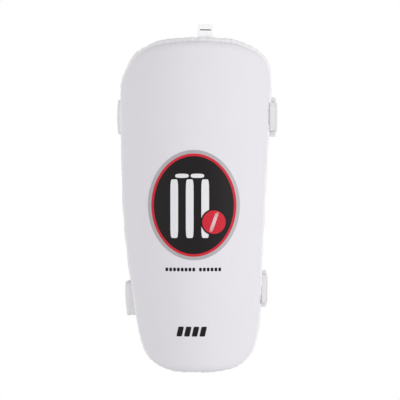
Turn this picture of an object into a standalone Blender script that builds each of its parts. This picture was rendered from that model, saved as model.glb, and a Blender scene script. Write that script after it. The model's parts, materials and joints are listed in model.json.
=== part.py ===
"""Forearm and elbow guard for cricket: a moulded face over two foams, a towelling lining in a padded rim,
and two elastic straps that close with hook and loop tape.

Metres, +Z along the forearm towards the elbow, -Y out of the moulded face, +X to the right of someone who
looks at that face. The origin is on the forearm's axis, halfway along the guard.
"""

import math
from dataclasses import dataclass

import bmesh
import bpy
from mathutils import Vector

# ------------------------------------------------------------------ the guard's outline
LENGTH = 0.2905  # wrist end to elbow end, over the padded rim
WIDTH_ELBOW = 0.1342  # widths over the rim, before the corners are rounded
WIDTH_MIDDLE = 0.1260
WIDTH_WRIST = 0.0990
CORNER_ELBOW = 0.049  # how far down each side a rounded corner reaches
CORNER_WRIST = 0.050
SQUARE_ELBOW = 3.0  # superellipse powers of the corners: 2 is an ellipse
SQUARE_WRIST = 3.3

# ------------------------------------------------------------------ the guard's arch
WRAP = math.radians(65)  # turn of the outer face, from its crown to its edge
BOW = 0.007  # how far both ends stand back from the middle
ARM_RADIUS = 0.044  # from the forearm's axis to the lining's crown, at mid-length

# ------------------------------------------------------------------ the layers, front to back
PLY_GAP = 0.0004  # clearance between neighbouring layers
COVER_THICK = 0.0010
SHELL_THICK = 0.0080
COMFORT_THICK = 0.0077  # at the crown
SIDE_FILL = 0.0094  # how much deeper the soft foam is at the sides
LINING_THICK = 0.0015

# ------------------------------------------------------------------ the edge
RIM_RADIUS = 0.0044
RIM_GAP = 0.0008  # from the rim roll to the layers around it
RIM_SHOW_SIDE = 0.0020  # how far the rim stands out beyond the moulded face
RIM_SHOW_ELBOW = 0.0047
RIM_SHOW_WRIST = 0.0015
ROLL_REACH = 0.0070  # the moulded face rolls over within this distance of its edge
ROLL_DEPTH = 0.0050
EDGE_GAP = 0.0003  # from the firm foam's edge to the inside of the skin's skirt
SKIRT_SIDE = 0.0050  # from the outline's own depth to the back edge of the cover's skirt

# ------------------------------------------------------------------ the label and the emblem
TAG_WIDTH = 0.0130
TAG_THICK = 0.0008
TAG_STANDS = 0.0110  # above the rim
TAG_SEWN = 0.0090  # behind the rim
TAG_X = 0.0085
TAG_BEVEL = 0.0002
BADGE_WIDTH = 0.0790
BADGE_HEIGHT = 0.0940
BADGE_THICK = 0.0003
BADGE_GAP = 0.0003

# ------------------------------------------------------------------ the straps
ELASTIC_WIDTH = 0.0320
ELASTIC_THICK = 0.0016
STRAP_STANDOFF = 0.0009  # from the rim's side to the inner face of what runs beside it
END_WIDTH = 0.0250
END_THICK = 0.0010
HOOK_THICK = 0.0010
LOOP_WIDTH = 0.0300
LOOP_THICK = 0.0010
LANDING_WIDTH = 0.0340
LANDING_THICK = 0.0009
TAPE_GAP = 0.00025  # between the layers of the closure
OVERLAP = 0.0460  # how far the strap's end lies on its landing tab
TAPE_INSET = 0.0040  # from the ends of a tab to the tape sewn on it
PULL_LENGTH = 0.0090
PULL_THICK = 0.0022
PULL_BEVEL = 0.0006
HINGE_GAP = 0.0007  # from a fold line to the cloth on either side of it
ANCHOR_LENGTH = 0.0080
ANCHOR_THICK = 0.0010
ANCHOR_GAP = 0.0012  # from an anchor to the fold line beside it
UPPER_FROM_ELBOW = 0.0672  # from the elbow end to the upper strap's middle
LOWER_ROOT_FROM_WRIST = 0.0622  # the lower strap slants: its root sits nearer the wrist end
LOWER_CLOSE_FROM_WRIST = 0.0712
UPPER_ARM_BACK = 0.0460  # from the forearm's axis back to the inner face of each strap
LOWER_ARM_BACK = 0.0380

# ------------------------------------------------------------------ colours
WHITE_FACE = (0.86, 0.86, 0.89)
WHITE_CLOTH = (0.88, 0.88, 0.90)
WHITE_TOWEL = (0.90, 0.90, 0.90)
WHITE_SATIN = (0.93, 0.93, 0.95)
WHITE_NYLON = (0.80, 0.80, 0.82)
GREY_FOAM = (0.16, 0.17, 0.19)
CREAM_FOAM = (0.75, 0.72, 0.60)
BLACK_FILM = (0.03, 0.03, 0.035)
ROUGH_CLOTH = 0.9  # how matt each surface is
ROUGH_SATIN = 0.4

# ------------------------------------------------------------------ how finely things are divided
CORNER_STEPS = 8
SIDE_STEPS = 9
FACE_RINGS = 6
BADGE_STEPS = 40
BADGE_RINGS = 5
ROLL_STOP = 0.45  # where the rolled edge has its middle ring, as a share of ROLL_REACH
RIBBON_STEP = 0.0042
PATH_SAMPLES = 720
ANCHOR_STEPS = 4
TUBE_RESOLUTION = 2  # of a curve's bevel
BEVEL_SEGMENTS = 2
PAST_CLOSURE = math.radians(30)  # how far past its closure a strap's path is measured
SHARP_ANGLE = math.radians(35)  # edges sharper than this are shaded sharp
CORNER_ANGLE = math.radians(60)  # edges sharper than this are bevelled on a pull tip
MERGE_DISTANCE = 1e-7

# ------------------------------------------------------------------ values that follow
HALF = LENGTH / 2
SHELL_FRONT = COVER_THICK + PLY_GAP
SHELL_BACK = SHELL_FRONT + SHELL_THICK
COMFORT_FRONT = SHELL_BACK + PLY_GAP
COMFORT_BACK = COMFORT_FRONT + COMFORT_THICK
LINING_FRONT = COMFORT_BACK + PLY_GAP
LINING_BACK = LINING_FRONT + LINING_THICK
SKIRT_END = SHELL_BACK
RIM_DEPTH_SIDE = SKIRT_SIDE + RIM_GAP + RIM_RADIUS
RIM_DEPTH_END = SKIRT_END + RIM_GAP + RIM_RADIUS
CROWN_RADIUS = WIDTH_MIDDLE / 2 / math.sin(WRAP)
EDGE_Y = CROWN_RADIUS * (1 - math.cos(WRAP)) - LINING_BACK - ARM_RADIUS
LANDING_STACK = LANDING_THICK / 2 + LOOP_THICK + HOOK_THICK + END_THICK / 2 + 3 * TAPE_GAP


@dataclass
class Inset:
    """How far inside the rim's outline a smaller outline lies."""

    side: float
    elbow: float
    wrist: float


RIM_OUTLINE = Inset(0.0, 0.0, 0.0)


def inside_rim(distance):
    """An outline the same distance inside the rim's all round."""
    return Inset(distance, distance, distance)


def inside_cover(distance):
    """An outline the same distance inside the moulded face's all round."""
    return Inset(RIM_SHOW_SIDE + distance, RIM_SHOW_ELBOW + distance, RIM_SHOW_WRIST + distance)


# ================================================================== the outline and the arch


def half_width(z):
    """Half the rim's width at a height, through the three driving widths."""
    slope = (WIDTH_ELBOW - WIDTH_WRIST) / 2
    bend = (WIDTH_ELBOW + WIDTH_WRIST) / 2 - WIDTH_MIDDLE
    share = z / HALF
    return (WIDTH_MIDDLE + slope * share + bend * share**2) / 2


def corner(corner_z, end_z, square, inset):
    """Points round one right-hand corner, from the end's middle to the side: a superellipse's quarter.

    They are spread evenly by the direction in which they lie from the corner's own middle."""
    points = []
    for i in range(CORNER_STEPS + 1):
        direction = math.pi / 2 * i / CORNER_STEPS
        out = max(math.sin(direction), 0.0)
        along = max(math.cos(direction), 0.0)
        size = (out**square + along**square) ** (1 / square)
        z = corner_z + (end_z - corner_z) * along / size
        points.append(((half_width(z) - inset.side) * out / size, z))
    return points


def outline(inset):
    """The closed outline as (x, z) points: from the wrist end's middle up the right side, down the left."""
    wrist_z = CORNER_WRIST - HALF
    elbow_z = HALF - CORNER_ELBOW
    right = corner(wrist_z, inset.wrist - HALF, SQUARE_WRIST, inset)
    for i in range(1, SIDE_STEPS):
        z = wrist_z + (elbow_z - wrist_z) * i / SIDE_STEPS
        right.append((half_width(z) - inset.side, z))
    right += reversed(corner(elbow_z, HALF - inset.elbow, SQUARE_ELBOW, inset))
    return right + [(-x, z) for x, z in reversed(right[1:-1])]


def spine(z):
    """The point of the guard's middle line that a ring's point at this height shrinks to."""
    return 0.0, min(max(z, CORNER_WRIST - HALF), HALF - CORNER_ELBOW)


def face_y(x, z):
    """Depth of the moulded face, before its edge rolls over."""
    radius = half_width(z) / math.sin(WRAP)
    across = math.sqrt(radius**2 - min(abs(x), radius) ** 2)
    return EDGE_Y + BOW * (z / HALF) ** 2 + radius * math.cos(WRAP) - across


def layer_y(depth, side_fill=0.0):
    """A function for the depth of a layer's surface, which may lie deeper towards the sides."""

    def y_at(x, z):
        return face_y(x, z) + depth + side_fill * (x / half_width(z)) ** 2

    return y_at


def rolled_y(depth, distance):
    """The same for a ring that lies a distance inside the moulded face's outline, where it rolls over."""
    left = max(0.0, 1 - distance / ROLL_REACH)
    roll = ROLL_DEPTH * (1 - math.sqrt(1 - left**2))
    return layer_y(depth + roll)


# ================================================================== meshes


def ring(points, y_at):
    """A closed ring in space over (x, z) points."""
    return [Vector((x, y_at(x, z), z)) for x, z in points]


def rim_ring(inset, depth_side, depth_end):
    """A ring at a depth measured from the rim's own outline, blended from the sides to the ends."""
    points = []
    for (x, z), (rim_x, rim_z) in zip(outline(inset), outline(RIM_OUTLINE)):
        share = (rim_x / half_width(rim_z)) ** 2
        depth = depth_end + (depth_side - depth_end) * share
        points.append(Vector((x, face_y(rim_x, rim_z) + depth, z)))
    return points


def face_rings(last, y_at):
    """Rings that grow evenly from the guard's middle line, with the given outline in place of the last.

    All layers share the inner rings, so that their facets lie parallel."""
    full = outline(inside_cover(ROLL_REACH))
    rings = []
    for i in range(FACE_RINGS):
        share = i / FACE_RINGS
        points = []
        for x, z in full:
            middle_x, middle_z = spine(z)
            points.append((middle_x + (x - middle_x) * share, middle_z + (z - middle_z) * share))
        rings.append(ring(points, y_at))
    return rings + [ring(outline(last), y_at)]


def new_object(name, mesh, colour, roughness, parent=None):
    """Links an object with its own material, under its pivot if it has one."""
    made = bpy.data.objects.new(name, mesh)
    bpy.context.scene.collection.objects.link(made)
    finish = bpy.data.materials.new(name)
    finish.use_nodes = True
    shader = finish.node_tree.nodes["Principled BSDF"]
    shader.inputs["Base Color"].default_value = (*colour, 1.0)
    shader.inputs["Roughness"].default_value = roughness
    shader.inputs["Metallic"].default_value = 0.0
    mesh.materials.append(finish)
    if parent:
        made.parent = parent.empty
    return made


def mesh_of(name, shape):
    """Turns a bmesh into a mesh with its faces pointing out, shaded smooth between its edges."""
    bmesh.ops.remove_doubles(shape, verts=shape.verts, dist=MERGE_DISTANCE)
    bmesh.ops.dissolve_degenerate(shape, edges=shape.edges, dist=MERGE_DISTANCE)
    bmesh.ops.recalc_face_normals(shape, faces=shape.faces)
    mesh = bpy.data.meshes.new(name)
    shape.to_mesh(mesh)
    shape.free()
    mesh.shade_smooth()
    mesh.set_sharp_from_angle(angle=SHARP_ANGLE)
    return mesh


def rows_of(shape, rings, origin):
    """Vertices for each ring, relative to the object's origin."""
    return [[shape.verts.new(point - origin) for point in points] for points in rings]


def band(shape, near, far, inner, outer):
    """Triangles between two rings: squares split from the inner ring's point to the outer ring's next."""
    count = len(near)
    for i in range(count):
        j = (i + 1) % count
        if near is inner:
            shape.faces.new((near[i], near[j], outer[j]))
            shape.faces.new((near[i], outer[j], far[i]))
        else:
            shape.faces.new((near[i], outer[j], far[i]))
            shape.faces.new((outer[j], far[j], far[i]))


def layer(name, front, back):
    """A closed layer through rings that grow from the guard's middle line, in front and behind.

    Front and back are split the same way, so that two layers with the same rings never cross."""
    shape = bmesh.new()
    front_rows = rows_of(shape, front, Vector())
    back_rows = rows_of(shape, back, Vector())
    for near, far in zip(front_rows, front_rows[1:]):
        band(shape, near, far, near, far)
    band(shape, front_rows[-1], back_rows[-1], front_rows[-1], back_rows[-1])
    for far, near in zip(back_rows, back_rows[1:]):
        band(shape, near, far, far, near)
    return mesh_of(name, shape)


def lofted(name, sections, origin=None):
    """A closed shape through sections of equally many points, capped at both ends."""
    shape = bmesh.new()
    rows = rows_of(shape, sections, origin or Vector())
    for near, far in zip(rows, rows[1:]):
        band(shape, near, far, near, far)
    shape.faces.new(rows[0])
    shape.faces.new(rows[-1])
    return mesh_of(name, shape)


# ================================================================== the guard


def soft_edge():
    """The outline of the layers that lie inside the rim roll."""
    return inside_rim(2 * RIM_RADIUS + RIM_GAP)


def make_face_cover():
    """The moulded skin: a dished front, a rolled edge and a skirt that goes back to the rim."""
    front = face_rings(inside_cover(ROLL_REACH), layer_y(0.0))
    inner = face_rings(inside_cover(ROLL_REACH), layer_y(COVER_THICK))
    for distance in (ROLL_REACH * ROLL_STOP, COVER_THICK):
        points = outline(inside_cover(distance))
        front.append(ring(points, rolled_y(0.0, distance)))
        inner.append(ring(points, rolled_y(COVER_THICK, distance)))
    front.append(ring(outline(inside_cover(0.0)), rolled_y(0.0, 0.0)))
    front.append(rim_ring(inside_cover(0.0), SKIRT_SIDE, SKIRT_END))
    inner.append(rim_ring(inside_cover(COVER_THICK), SKIRT_SIDE, SKIRT_END))
    mesh = layer("face_cover", front, inner)
    return new_object("face_cover", mesh, WHITE_FACE, ROUGH_CLOTH)


def make_foam_shell():
    """The firm foam that fills the skin. Its back has the soft foam's rings, so the two lie parallel."""
    edge = COVER_THICK + EDGE_GAP
    front = face_rings(inside_cover(ROLL_REACH), layer_y(SHELL_FRONT))
    for distance in (ROLL_REACH * ROLL_STOP, edge):
        front.append(ring(outline(inside_cover(distance)), rolled_y(SHELL_FRONT, distance)))
    back = face_rings(soft_edge(), layer_y(SHELL_BACK))
    back.append(ring(outline(inside_cover(edge)), layer_y(SHELL_BACK)))
    mesh = layer("foam_shell", front, back)
    return new_object("foam_shell", mesh, GREY_FOAM, ROUGH_CLOTH)


def make_soft_layer(name, front_y, back_y, colour):
    """A layer that lies inside the rim roll."""
    mesh = layer(name, face_rings(soft_edge(), front_y), face_rings(soft_edge(), back_y))
    return new_object(name, mesh, colour, ROUGH_CLOTH)


def make_rim_roll():
    """The padded roll: a closed tube along the outline, behind the skin's skirt."""
    curve = bpy.data.curves.new("rim_roll", "CURVE")
    curve.dimensions = "3D"
    curve.bevel_depth = RIM_RADIUS
    curve.bevel_resolution = TUBE_RESOLUTION
    path = rim_ring(inside_rim(RIM_RADIUS), RIM_DEPTH_SIDE, RIM_DEPTH_END)
    spline = curve.splines.new("POLY")
    spline.points.add(len(path) - 1)
    for point, place in zip(spline.points, path):
        point.co = (*place, 1.0)
    spline.use_cyclic_u = True
    return new_object("rim_roll", curve, WHITE_CLOTH, ROUGH_CLOTH)


def make_size_tag():
    """The folded label, sewn behind the rim at the elbow end."""
    mesh = bpy.data.meshes.new("size_tag")
    shape = bmesh.new()
    bmesh.ops.create_cube(shape, size=1.0)
    size = Vector((TAG_WIDTH, TAG_THICK, TAG_STANDS + TAG_SEWN))
    bmesh.ops.scale(shape, vec=size, verts=shape.verts)
    shape.to_mesh(mesh)
    shape.free()
    made = new_object("size_tag", mesh, WHITE_SATIN, ROUGH_SATIN)
    turn = math.asin(TAG_X * math.sin(WRAP) / half_width(HALF))
    behind = RIM_RADIUS + RIM_GAP + TAG_THICK / 2
    rim_y = face_y(TAG_X, HALF) + RIM_DEPTH_END
    made.location = (
        TAG_X - behind * math.sin(turn),
        rim_y + behind * math.cos(turn),
        HALF + (TAG_STANDS - TAG_SEWN) / 2,
    )
    made.rotation_euler = (0.0, 0.0, turn)
    edge = made.modifiers.new("edge", "BEVEL")
    edge.width = TAG_BEVEL
    edge.segments = BEVEL_SEGMENTS
    return made


def make_badge_film():
    """The oval emblem: a thin film that follows the face."""
    fronts, backs = [], []
    for i in range(BADGE_RINGS + 1):
        share = i / BADGE_RINGS
        points = []
        for step in range(BADGE_STEPS):
            turn = 2 * math.pi * step / BADGE_STEPS
            x = BADGE_WIDTH / 2 * share * math.cos(turn)
            points.append((x, BADGE_HEIGHT / 2 * share * math.sin(turn)))
        fronts.append(ring(points, layer_y(-BADGE_GAP - BADGE_THICK)))
        backs.append(ring(points, layer_y(-BADGE_GAP)))
    mesh = layer("badge_film", fronts, backs)
    return new_object("badge_film", mesh, BLACK_FILM, ROUGH_SATIN)


# ================================================================== the straps


@dataclass
class Pivot:
    """A fold line: an empty on the axis that the pieces beyond it turn about."""

    empty: bpy.types.Object
    place: Vector


def make_pivot(name, place, parent=None):
    """A fold line at a place in space, under the fold line that it swings with if it has one."""
    empty = bpy.data.objects.new(name, None)
    bpy.context.scene.collection.objects.link(empty)
    empty.empty_display_size = ELASTIC_WIDTH / 2
    if parent:
        empty.parent = parent.empty
        empty.location = place - parent.place
    else:
        empty.location = place
    return Pivot(empty, place)


@dataclass
class Strap:
    """One strap: where its root and its closure sit along the forearm, and how deep an arm it goes round."""

    name: str
    root_z: float
    close_z: float
    arm_back: float  # how far behind the forearm's axis the strap's inner face lies

    def __post_init__(self):
        root_rim = max(half_width(self.root_z + side * ELASTIC_WIDTH / 2) for side in (-1, 1))
        close_rim = max(half_width(self.close_z + side * LANDING_WIDTH / 2) for side in (-1, 1))
        left_x = -root_rim - STRAP_STANDOFF - ELASTIC_THICK / 2
        self.landing_x = close_rim + STRAP_STANDOFF + LANDING_THICK / 2
        right_x = self.landing_x + LANDING_STACK
        middle_z = (self.root_z + self.close_z) / 2
        self.fold_y = rim_side_y(middle_z) + ANCHOR_LENGTH / 2 + ANCHOR_GAP
        self.middle_x = (left_x + right_x) / 2
        self.reach_x = (right_x - left_x) / 2
        self.reach_y = self.arm_back + ELASTIC_THICK / 2 - self.fold_y
        self.measure()

    def measure(self):
        """Tables of turn against distance along the strap, from its root and a little past its closure."""
        whole = math.pi + PAST_CLOSURE
        self.turns = [math.pi - whole * i / PATH_SAMPLES for i in range(PATH_SAMPLES + 1)]
        self.distances = [0.0]
        for near, far in zip(self.turns, self.turns[1:]):
            step = (self.on_ellipse(far) - self.on_ellipse(near)).length
            self.distances.append(self.distances[-1] + step)
        self.length = self.distance_of(0.0)

    def on_ellipse(self, turn):
        """The strap's middle line: half an ellipse behind the guard, from the left side to the right."""
        x = self.middle_x + self.reach_x * math.cos(turn)
        return Vector((x, self.fold_y + self.reach_y * math.sin(turn), 0.0))

    def distance_of(self, turn):
        share = (math.pi - turn) / (self.turns[0] - self.turns[-1])
        return self.distances[round(share * PATH_SAMPLES)]

    def turn_at(self, distance):
        """The turn at a distance along the strap, between the table's two nearest entries."""
        for i in range(PATH_SAMPLES):
            low, high = self.distances[i], self.distances[i + 1]
            if distance <= high:
                return self.turns[i] + (self.turns[i + 1] - self.turns[i]) * (distance - low) / (high - low)
        return self.turns[-1]

    def at(self, distance, out=0.0):
        """The point at a distance along the strap and so far outside its middle line."""
        turn = self.turn_at(distance)
        place = self.on_ellipse(turn)
        outward = Vector((math.cos(turn) * self.reach_y, math.sin(turn) * self.reach_x, 0.0)).normalized()
        share = min(distance / self.length, 1.0)
        place.z = self.root_z + (self.close_z - self.root_z) * share
        return place + outward * out, outward


def rim_side_y(z):
    """Depth of the rim roll's middle at the guard's sides."""
    return face_y(half_width(z), z) + RIM_DEPTH_SIDE


def ribbon(strap, name, span, out, thick, width, colour, pivot):
    """A flat band of cloth along a strap, over a span of distances from the strap's root."""
    start, stop = span
    steps = max(2, math.ceil((stop - start) / RIBBON_STEP))
    sections = []
    for i in range(steps + 1):
        place, outward = strap.at(start + (stop - start) * i / steps, out)
        up = Vector((0.0, 0.0, width / 2))
        across = outward * thick / 2
        sections.append([place - across - up, place + across - up, place + across + up, place - across + up])
    mesh = lofted(name, sections, pivot.place)
    return new_object(name, mesh, colour, ROUGH_CLOTH, pivot)


def make_anchor(name, side, middle_z, width, fold_y):
    """The sewn root of a strap or tab: a patch that follows the rim's side, in front of the fold line."""
    back_y = fold_y - ANCHOR_GAP
    sections = []
    for i in range(ANCHOR_STEPS + 1):
        z = middle_z + width * (i / ANCHOR_STEPS - 0.5)
        inner = side * (half_width(z) + PLY_GAP)
        outer = side * (half_width(z) + PLY_GAP + ANCHOR_THICK)
        front_y = back_y - ANCHOR_LENGTH
        corners = ((inner, front_y), (outer, front_y), (outer, back_y), (inner, back_y))
        sections.append([Vector((x, y, z)) for x, y in corners])
    return new_object(name, lofted(name, sections), WHITE_CLOTH, ROUGH_CLOTH)


def make_strap(strap):
    """A strap, its end with the hook tape, and the landing tab with the loop tape."""
    close = strap.length
    seam = close - OVERLAP

    root = make_pivot(f"{strap.name}_strap_pivot", strap.at(0.0)[0])
    span = (HINGE_GAP, seam - HINGE_GAP)
    ribbon(strap, f"{strap.name}_elastic", span, 0.0, ELASTIC_THICK, ELASTIC_WIDTH, WHITE_CLOTH, root)

    end = make_pivot(f"{strap.name}_end_pivot", strap.at(seam)[0], root)
    span = (seam + HINGE_GAP, close)
    ribbon(strap, f"{strap.name}_end_tab", span, 0.0, END_THICK, END_WIDTH, WHITE_CLOTH, end)
    hook_out = -(END_THICK + HOOK_THICK) / 2 - TAPE_GAP
    span = (seam + TAPE_INSET, close - TAPE_INSET)
    ribbon(strap, f"{strap.name}_hook_tape", span, hook_out, HOOK_THICK, END_WIDTH, WHITE_NYLON, end)
    span = (close + TAPE_GAP, close + TAPE_GAP + PULL_LENGTH)
    tip = ribbon(strap, f"{strap.name}_pull_tip", span, 0.0, PULL_THICK, END_WIDTH, WHITE_CLOTH, end)
    edge = tip.modifiers.new("edge", "BEVEL")
    edge.width = PULL_BEVEL
    edge.segments = BEVEL_SEGMENTS
    edge.limit_method = "ANGLE"
    edge.angle_limit = CORNER_ANGLE

    landing = make_pivot(f"{strap.name}_landing_pivot", strap.at(close, -LANDING_STACK)[0])
    span = (seam + HINGE_GAP, close - HINGE_GAP)
    size = (LANDING_THICK, LANDING_WIDTH)
    ribbon(strap, f"{strap.name}_landing_tab", span, -LANDING_STACK, *size, WHITE_CLOTH, landing)
    loop_out = -LANDING_STACK + (LANDING_THICK + LOOP_THICK) / 2 + TAPE_GAP
    span = (seam + TAPE_INSET, close - TAPE_INSET)
    ribbon(strap, f"{strap.name}_loop_tape", span, loop_out, LOOP_THICK, LOOP_WIDTH, WHITE_CLOTH, landing)

    make_anchor(f"{strap.name}_strap_anchor", -1, strap.root_z, ELASTIC_WIDTH, strap.fold_y)
    make_anchor(f"{strap.name}_landing_anchor", 1, strap.close_z, LANDING_WIDTH, strap.fold_y)


STRAPS = (
    Strap("upper", HALF - UPPER_FROM_ELBOW, HALF - UPPER_FROM_ELBOW, UPPER_ARM_BACK),
    Strap("lower", LOWER_ROOT_FROM_WRIST - HALF, LOWER_CLOSE_FROM_WRIST - HALF, LOWER_ARM_BACK),
)


def main():
    """Empties the scene and makes every piece."""
    for old in list(bpy.data.objects):
        bpy.data.objects.remove(old, do_unlink=True)
    make_face_cover()
    make_foam_shell()
    foam = (layer_y(COMFORT_FRONT), layer_y(COMFORT_BACK, SIDE_FILL))
    make_soft_layer("comfort_foam", *foam, CREAM_FOAM)
    towel = (layer_y(LINING_FRONT, SIDE_FILL), layer_y(LINING_BACK, SIDE_FILL))
    make_soft_layer("towel_lining", *towel, WHITE_TOWEL)
    make_rim_roll()
    make_size_tag()
    make_badge_film()
    for strap in STRAPS:
        make_strap(strap)


main()
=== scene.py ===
"""Looks of a moulded cricket forearm guard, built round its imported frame.

Metres, +Z along the forearm towards the elbow, -Y out of the moulded face, +X to the right of someone who
looks at that face. GuardForm holds the guard's own form, and every piece on it follows that form.
"""

import json
import logging
import math
from collections.abc import Sequence
from dataclasses import dataclass, field
from enum import Enum
from functools import cache

import bmesh
import bpy
import numpy as np
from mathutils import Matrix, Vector
from mathutils.bvhtree import BVHTree


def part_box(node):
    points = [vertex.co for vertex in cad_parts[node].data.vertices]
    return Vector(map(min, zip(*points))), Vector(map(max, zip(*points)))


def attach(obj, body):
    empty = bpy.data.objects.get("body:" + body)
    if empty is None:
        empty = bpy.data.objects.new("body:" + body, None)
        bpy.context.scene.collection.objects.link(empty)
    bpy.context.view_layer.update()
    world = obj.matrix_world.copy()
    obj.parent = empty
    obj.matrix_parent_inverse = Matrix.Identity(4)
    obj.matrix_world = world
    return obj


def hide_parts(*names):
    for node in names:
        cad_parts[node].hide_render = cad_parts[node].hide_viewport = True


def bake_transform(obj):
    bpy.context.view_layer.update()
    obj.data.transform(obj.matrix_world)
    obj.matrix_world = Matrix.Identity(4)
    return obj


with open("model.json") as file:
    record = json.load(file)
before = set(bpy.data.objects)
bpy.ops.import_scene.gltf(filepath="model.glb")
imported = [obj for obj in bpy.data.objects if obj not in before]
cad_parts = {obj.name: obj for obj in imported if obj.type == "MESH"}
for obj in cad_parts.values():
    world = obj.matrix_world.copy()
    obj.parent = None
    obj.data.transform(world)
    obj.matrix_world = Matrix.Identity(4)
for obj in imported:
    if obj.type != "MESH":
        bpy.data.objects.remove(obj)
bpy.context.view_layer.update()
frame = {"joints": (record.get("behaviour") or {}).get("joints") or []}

log = logging.getLogger("guard")

MM = 0.001
WELD = 2e-6  # points nearer than this are one point
TURN = 2 * math.pi
QUARTER = math.pi / 2
UP = np.array([0.0, 0.0, 1.0])
WHITE = (1.0, 1.0, 1.0, 1.0)
Three = tuple[float, float, float]


# ====================================================================== meshes


def squares(rows: int, columns: int) -> np.ndarray:
    """Corner numbers of a grid's squares, its points numbered row by row from 0."""
    near = np.arange(rows * columns).reshape(rows, columns)
    corners = (near[:-1, :-1], near[:-1, 1:], near[1:, 1:], near[1:, :-1])
    return np.stack(corners, axis=-1).reshape(-1, 4)


@dataclass
class Patch:
    """A grid of points, with the cloth coordinates of each in millimetres."""

    points: np.ndarray
    cloth: np.ndarray

    def faces(self) -> np.ndarray:
        """Corner numbers of its squares."""
        return squares(*self.points.shape[:2])


@dataclass
class Stitches(Patch):
    """Many small grids of the same size, one for each stitch."""

    rows: int
    columns: int

    def faces(self) -> np.ndarray:
        """Corner numbers of every stitch's squares."""
        first = np.arange(len(self.points)) * self.rows * self.columns
        return (squares(self.rows, self.columns)[None] + first[:, None, None]).reshape(-1, 4)


def piece_from(name: str, patches: Sequence[Patch], sharp: float = 50.0) -> bpy.types.Object:
    """Makes a closed piece from grids whose touching edges are welded.

    Args:
        name: the piece's name.
        patches: grids of points; together they close.
        sharp: edges sharper than this, in degrees, are shaded sharp.

    Returns:
        The linked object, at the origin, with its faces pointing out.
    """
    faces = []
    first = 0
    for patch in patches:
        faces.append(first + patch.faces())
        first += patch.points.shape[0] * patch.points.shape[1]
    points = np.concatenate([patch.points.reshape(-1, 3) for patch in patches])
    cloth = np.concatenate([patch.cloth.reshape(-1, 2) for patch in patches])
    corners = np.concatenate(faces)
    mesh = bpy.data.meshes.new(name)
    mesh.from_pydata(points.tolist(), [], corners.tolist())
    mesh.uv_layers.new(name="cloth").data.foreach_set("uv", cloth[corners.ravel()].ravel())
    shape = bmesh.new()
    shape.from_mesh(mesh)
    bmesh.ops.remove_doubles(shape, verts=shape.verts, dist=WELD)
    bmesh.ops.recalc_face_normals(shape, faces=shape.faces)
    shape.to_mesh(mesh)
    shape.free()
    mesh.shade_smooth()
    mesh.set_sharp_from_angle(angle=math.radians(sharp))
    return linked(name, mesh)


def linked(name: str, data: bpy.types.ID) -> bpy.types.Object:
    """An object for some data, linked to the scene."""
    made = bpy.data.objects.new(name, data)
    bpy.context.scene.collection.objects.link(made)
    return made


def points_of(mesh: bpy.types.Mesh) -> np.ndarray:
    """A mesh's points."""
    points = np.zeros(len(mesh.vertices) * 3)
    mesh.vertices.foreach_get("co", points)
    return points.reshape(-1, 3)


def set_points(mesh: bpy.types.Mesh, points: np.ndarray) -> None:
    """Moves a mesh's points."""
    mesh.vertices.foreach_set("co", points.ravel())
    mesh.update()


def apply_modifiers(piece: bpy.types.Object) -> None:
    """Replaces a piece's mesh by what its modifiers make of it, and removes them."""
    graph = bpy.context.evaluated_depsgraph_get()
    mesh = bpy.data.meshes.new_from_object(piece.evaluated_get(graph), depsgraph=graph)
    piece.modifiers.clear()
    piece.data = mesh


# ====================================================================== paths


def unit(vectors: np.ndarray) -> np.ndarray:
    """Vectors of the same directions and of length 1."""
    return vectors / np.maximum(np.linalg.norm(vectors, axis=-1, keepdims=True), 1e-12)


def smooth_step(value: np.ndarray) -> np.ndarray:
    """0 below 0, 1 above 1, and the cubic 3t^2 - 2t^3 between."""
    t = np.clip(value, 0.0, 1.0)
    return t * t * (3 - 2 * t)


def bell(value: np.ndarray) -> np.ndarray:
    """The bell curve exp(-t^2)."""
    return np.exp(-(value**2))


def lengths_along(path: np.ndarray) -> np.ndarray:
    """Distance of each point of a path from its first."""
    steps = np.linalg.norm(np.diff(path, axis=0), axis=1)
    return np.concatenate([[0.0], np.cumsum(steps)])


def read_at(distances: np.ndarray, along: np.ndarray, values: np.ndarray) -> np.ndarray:
    """Points or directions at some distances, read between those known at the distances along."""
    return np.stack([np.interp(distances, along, values[:, axis]) for axis in range(3)], axis=1)


def evenly(path: np.ndarray, count: int) -> np.ndarray:
    """The same path through so many points, the same distance apart."""
    along = lengths_along(path)
    return read_at(np.linspace(0.0, along[-1], count), along, path)


def curve_through(points: np.ndarray, count: int) -> np.ndarray:
    """A smooth path through points: Catmull-Rom cubics, with each end's first step repeated beyond it.

    Args:
        points: the points that it passes.
        count: how many points it is read at.

    Returns:
        The path, evenly spaced.
    """
    ends = np.concatenate([[2 * points[0] - points[1]], points, [2 * points[-1] - points[-2]]])
    spot = np.linspace(0.0, len(points) - 1 - 1e-9, count * 4)
    i = spot.astype(int)
    t = (spot - i)[:, None]
    a, b, c, d = ends[i], ends[i + 1], ends[i + 2], ends[i + 3]
    square, cube = 2 * a - 5 * b + 4 * c - d, 3 * b - a - 3 * c + d
    return evenly(0.5 * (2 * b + (c - a) * t + square * t**2 + cube * t**3), count)


def turned_right(path: np.ndarray) -> np.ndarray:
    """For a path in plan, the level directions on its left-hand side, which is outward here."""
    return unit(np.cross(UP[None], unit(np.gradient(path, axis=0))))


def ended(values: np.ndarray | float, shape: tuple[int, ...], more: int) -> np.ndarray:
    """Values spread to a shape, the first and the last repeated beyond them, with a section's axis added."""
    full = np.broadcast_to(values, shape)
    return np.concatenate([np.repeat(full[:1], more, 0), full, np.repeat(full[-1:], more, 0)])[:, None]


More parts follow.
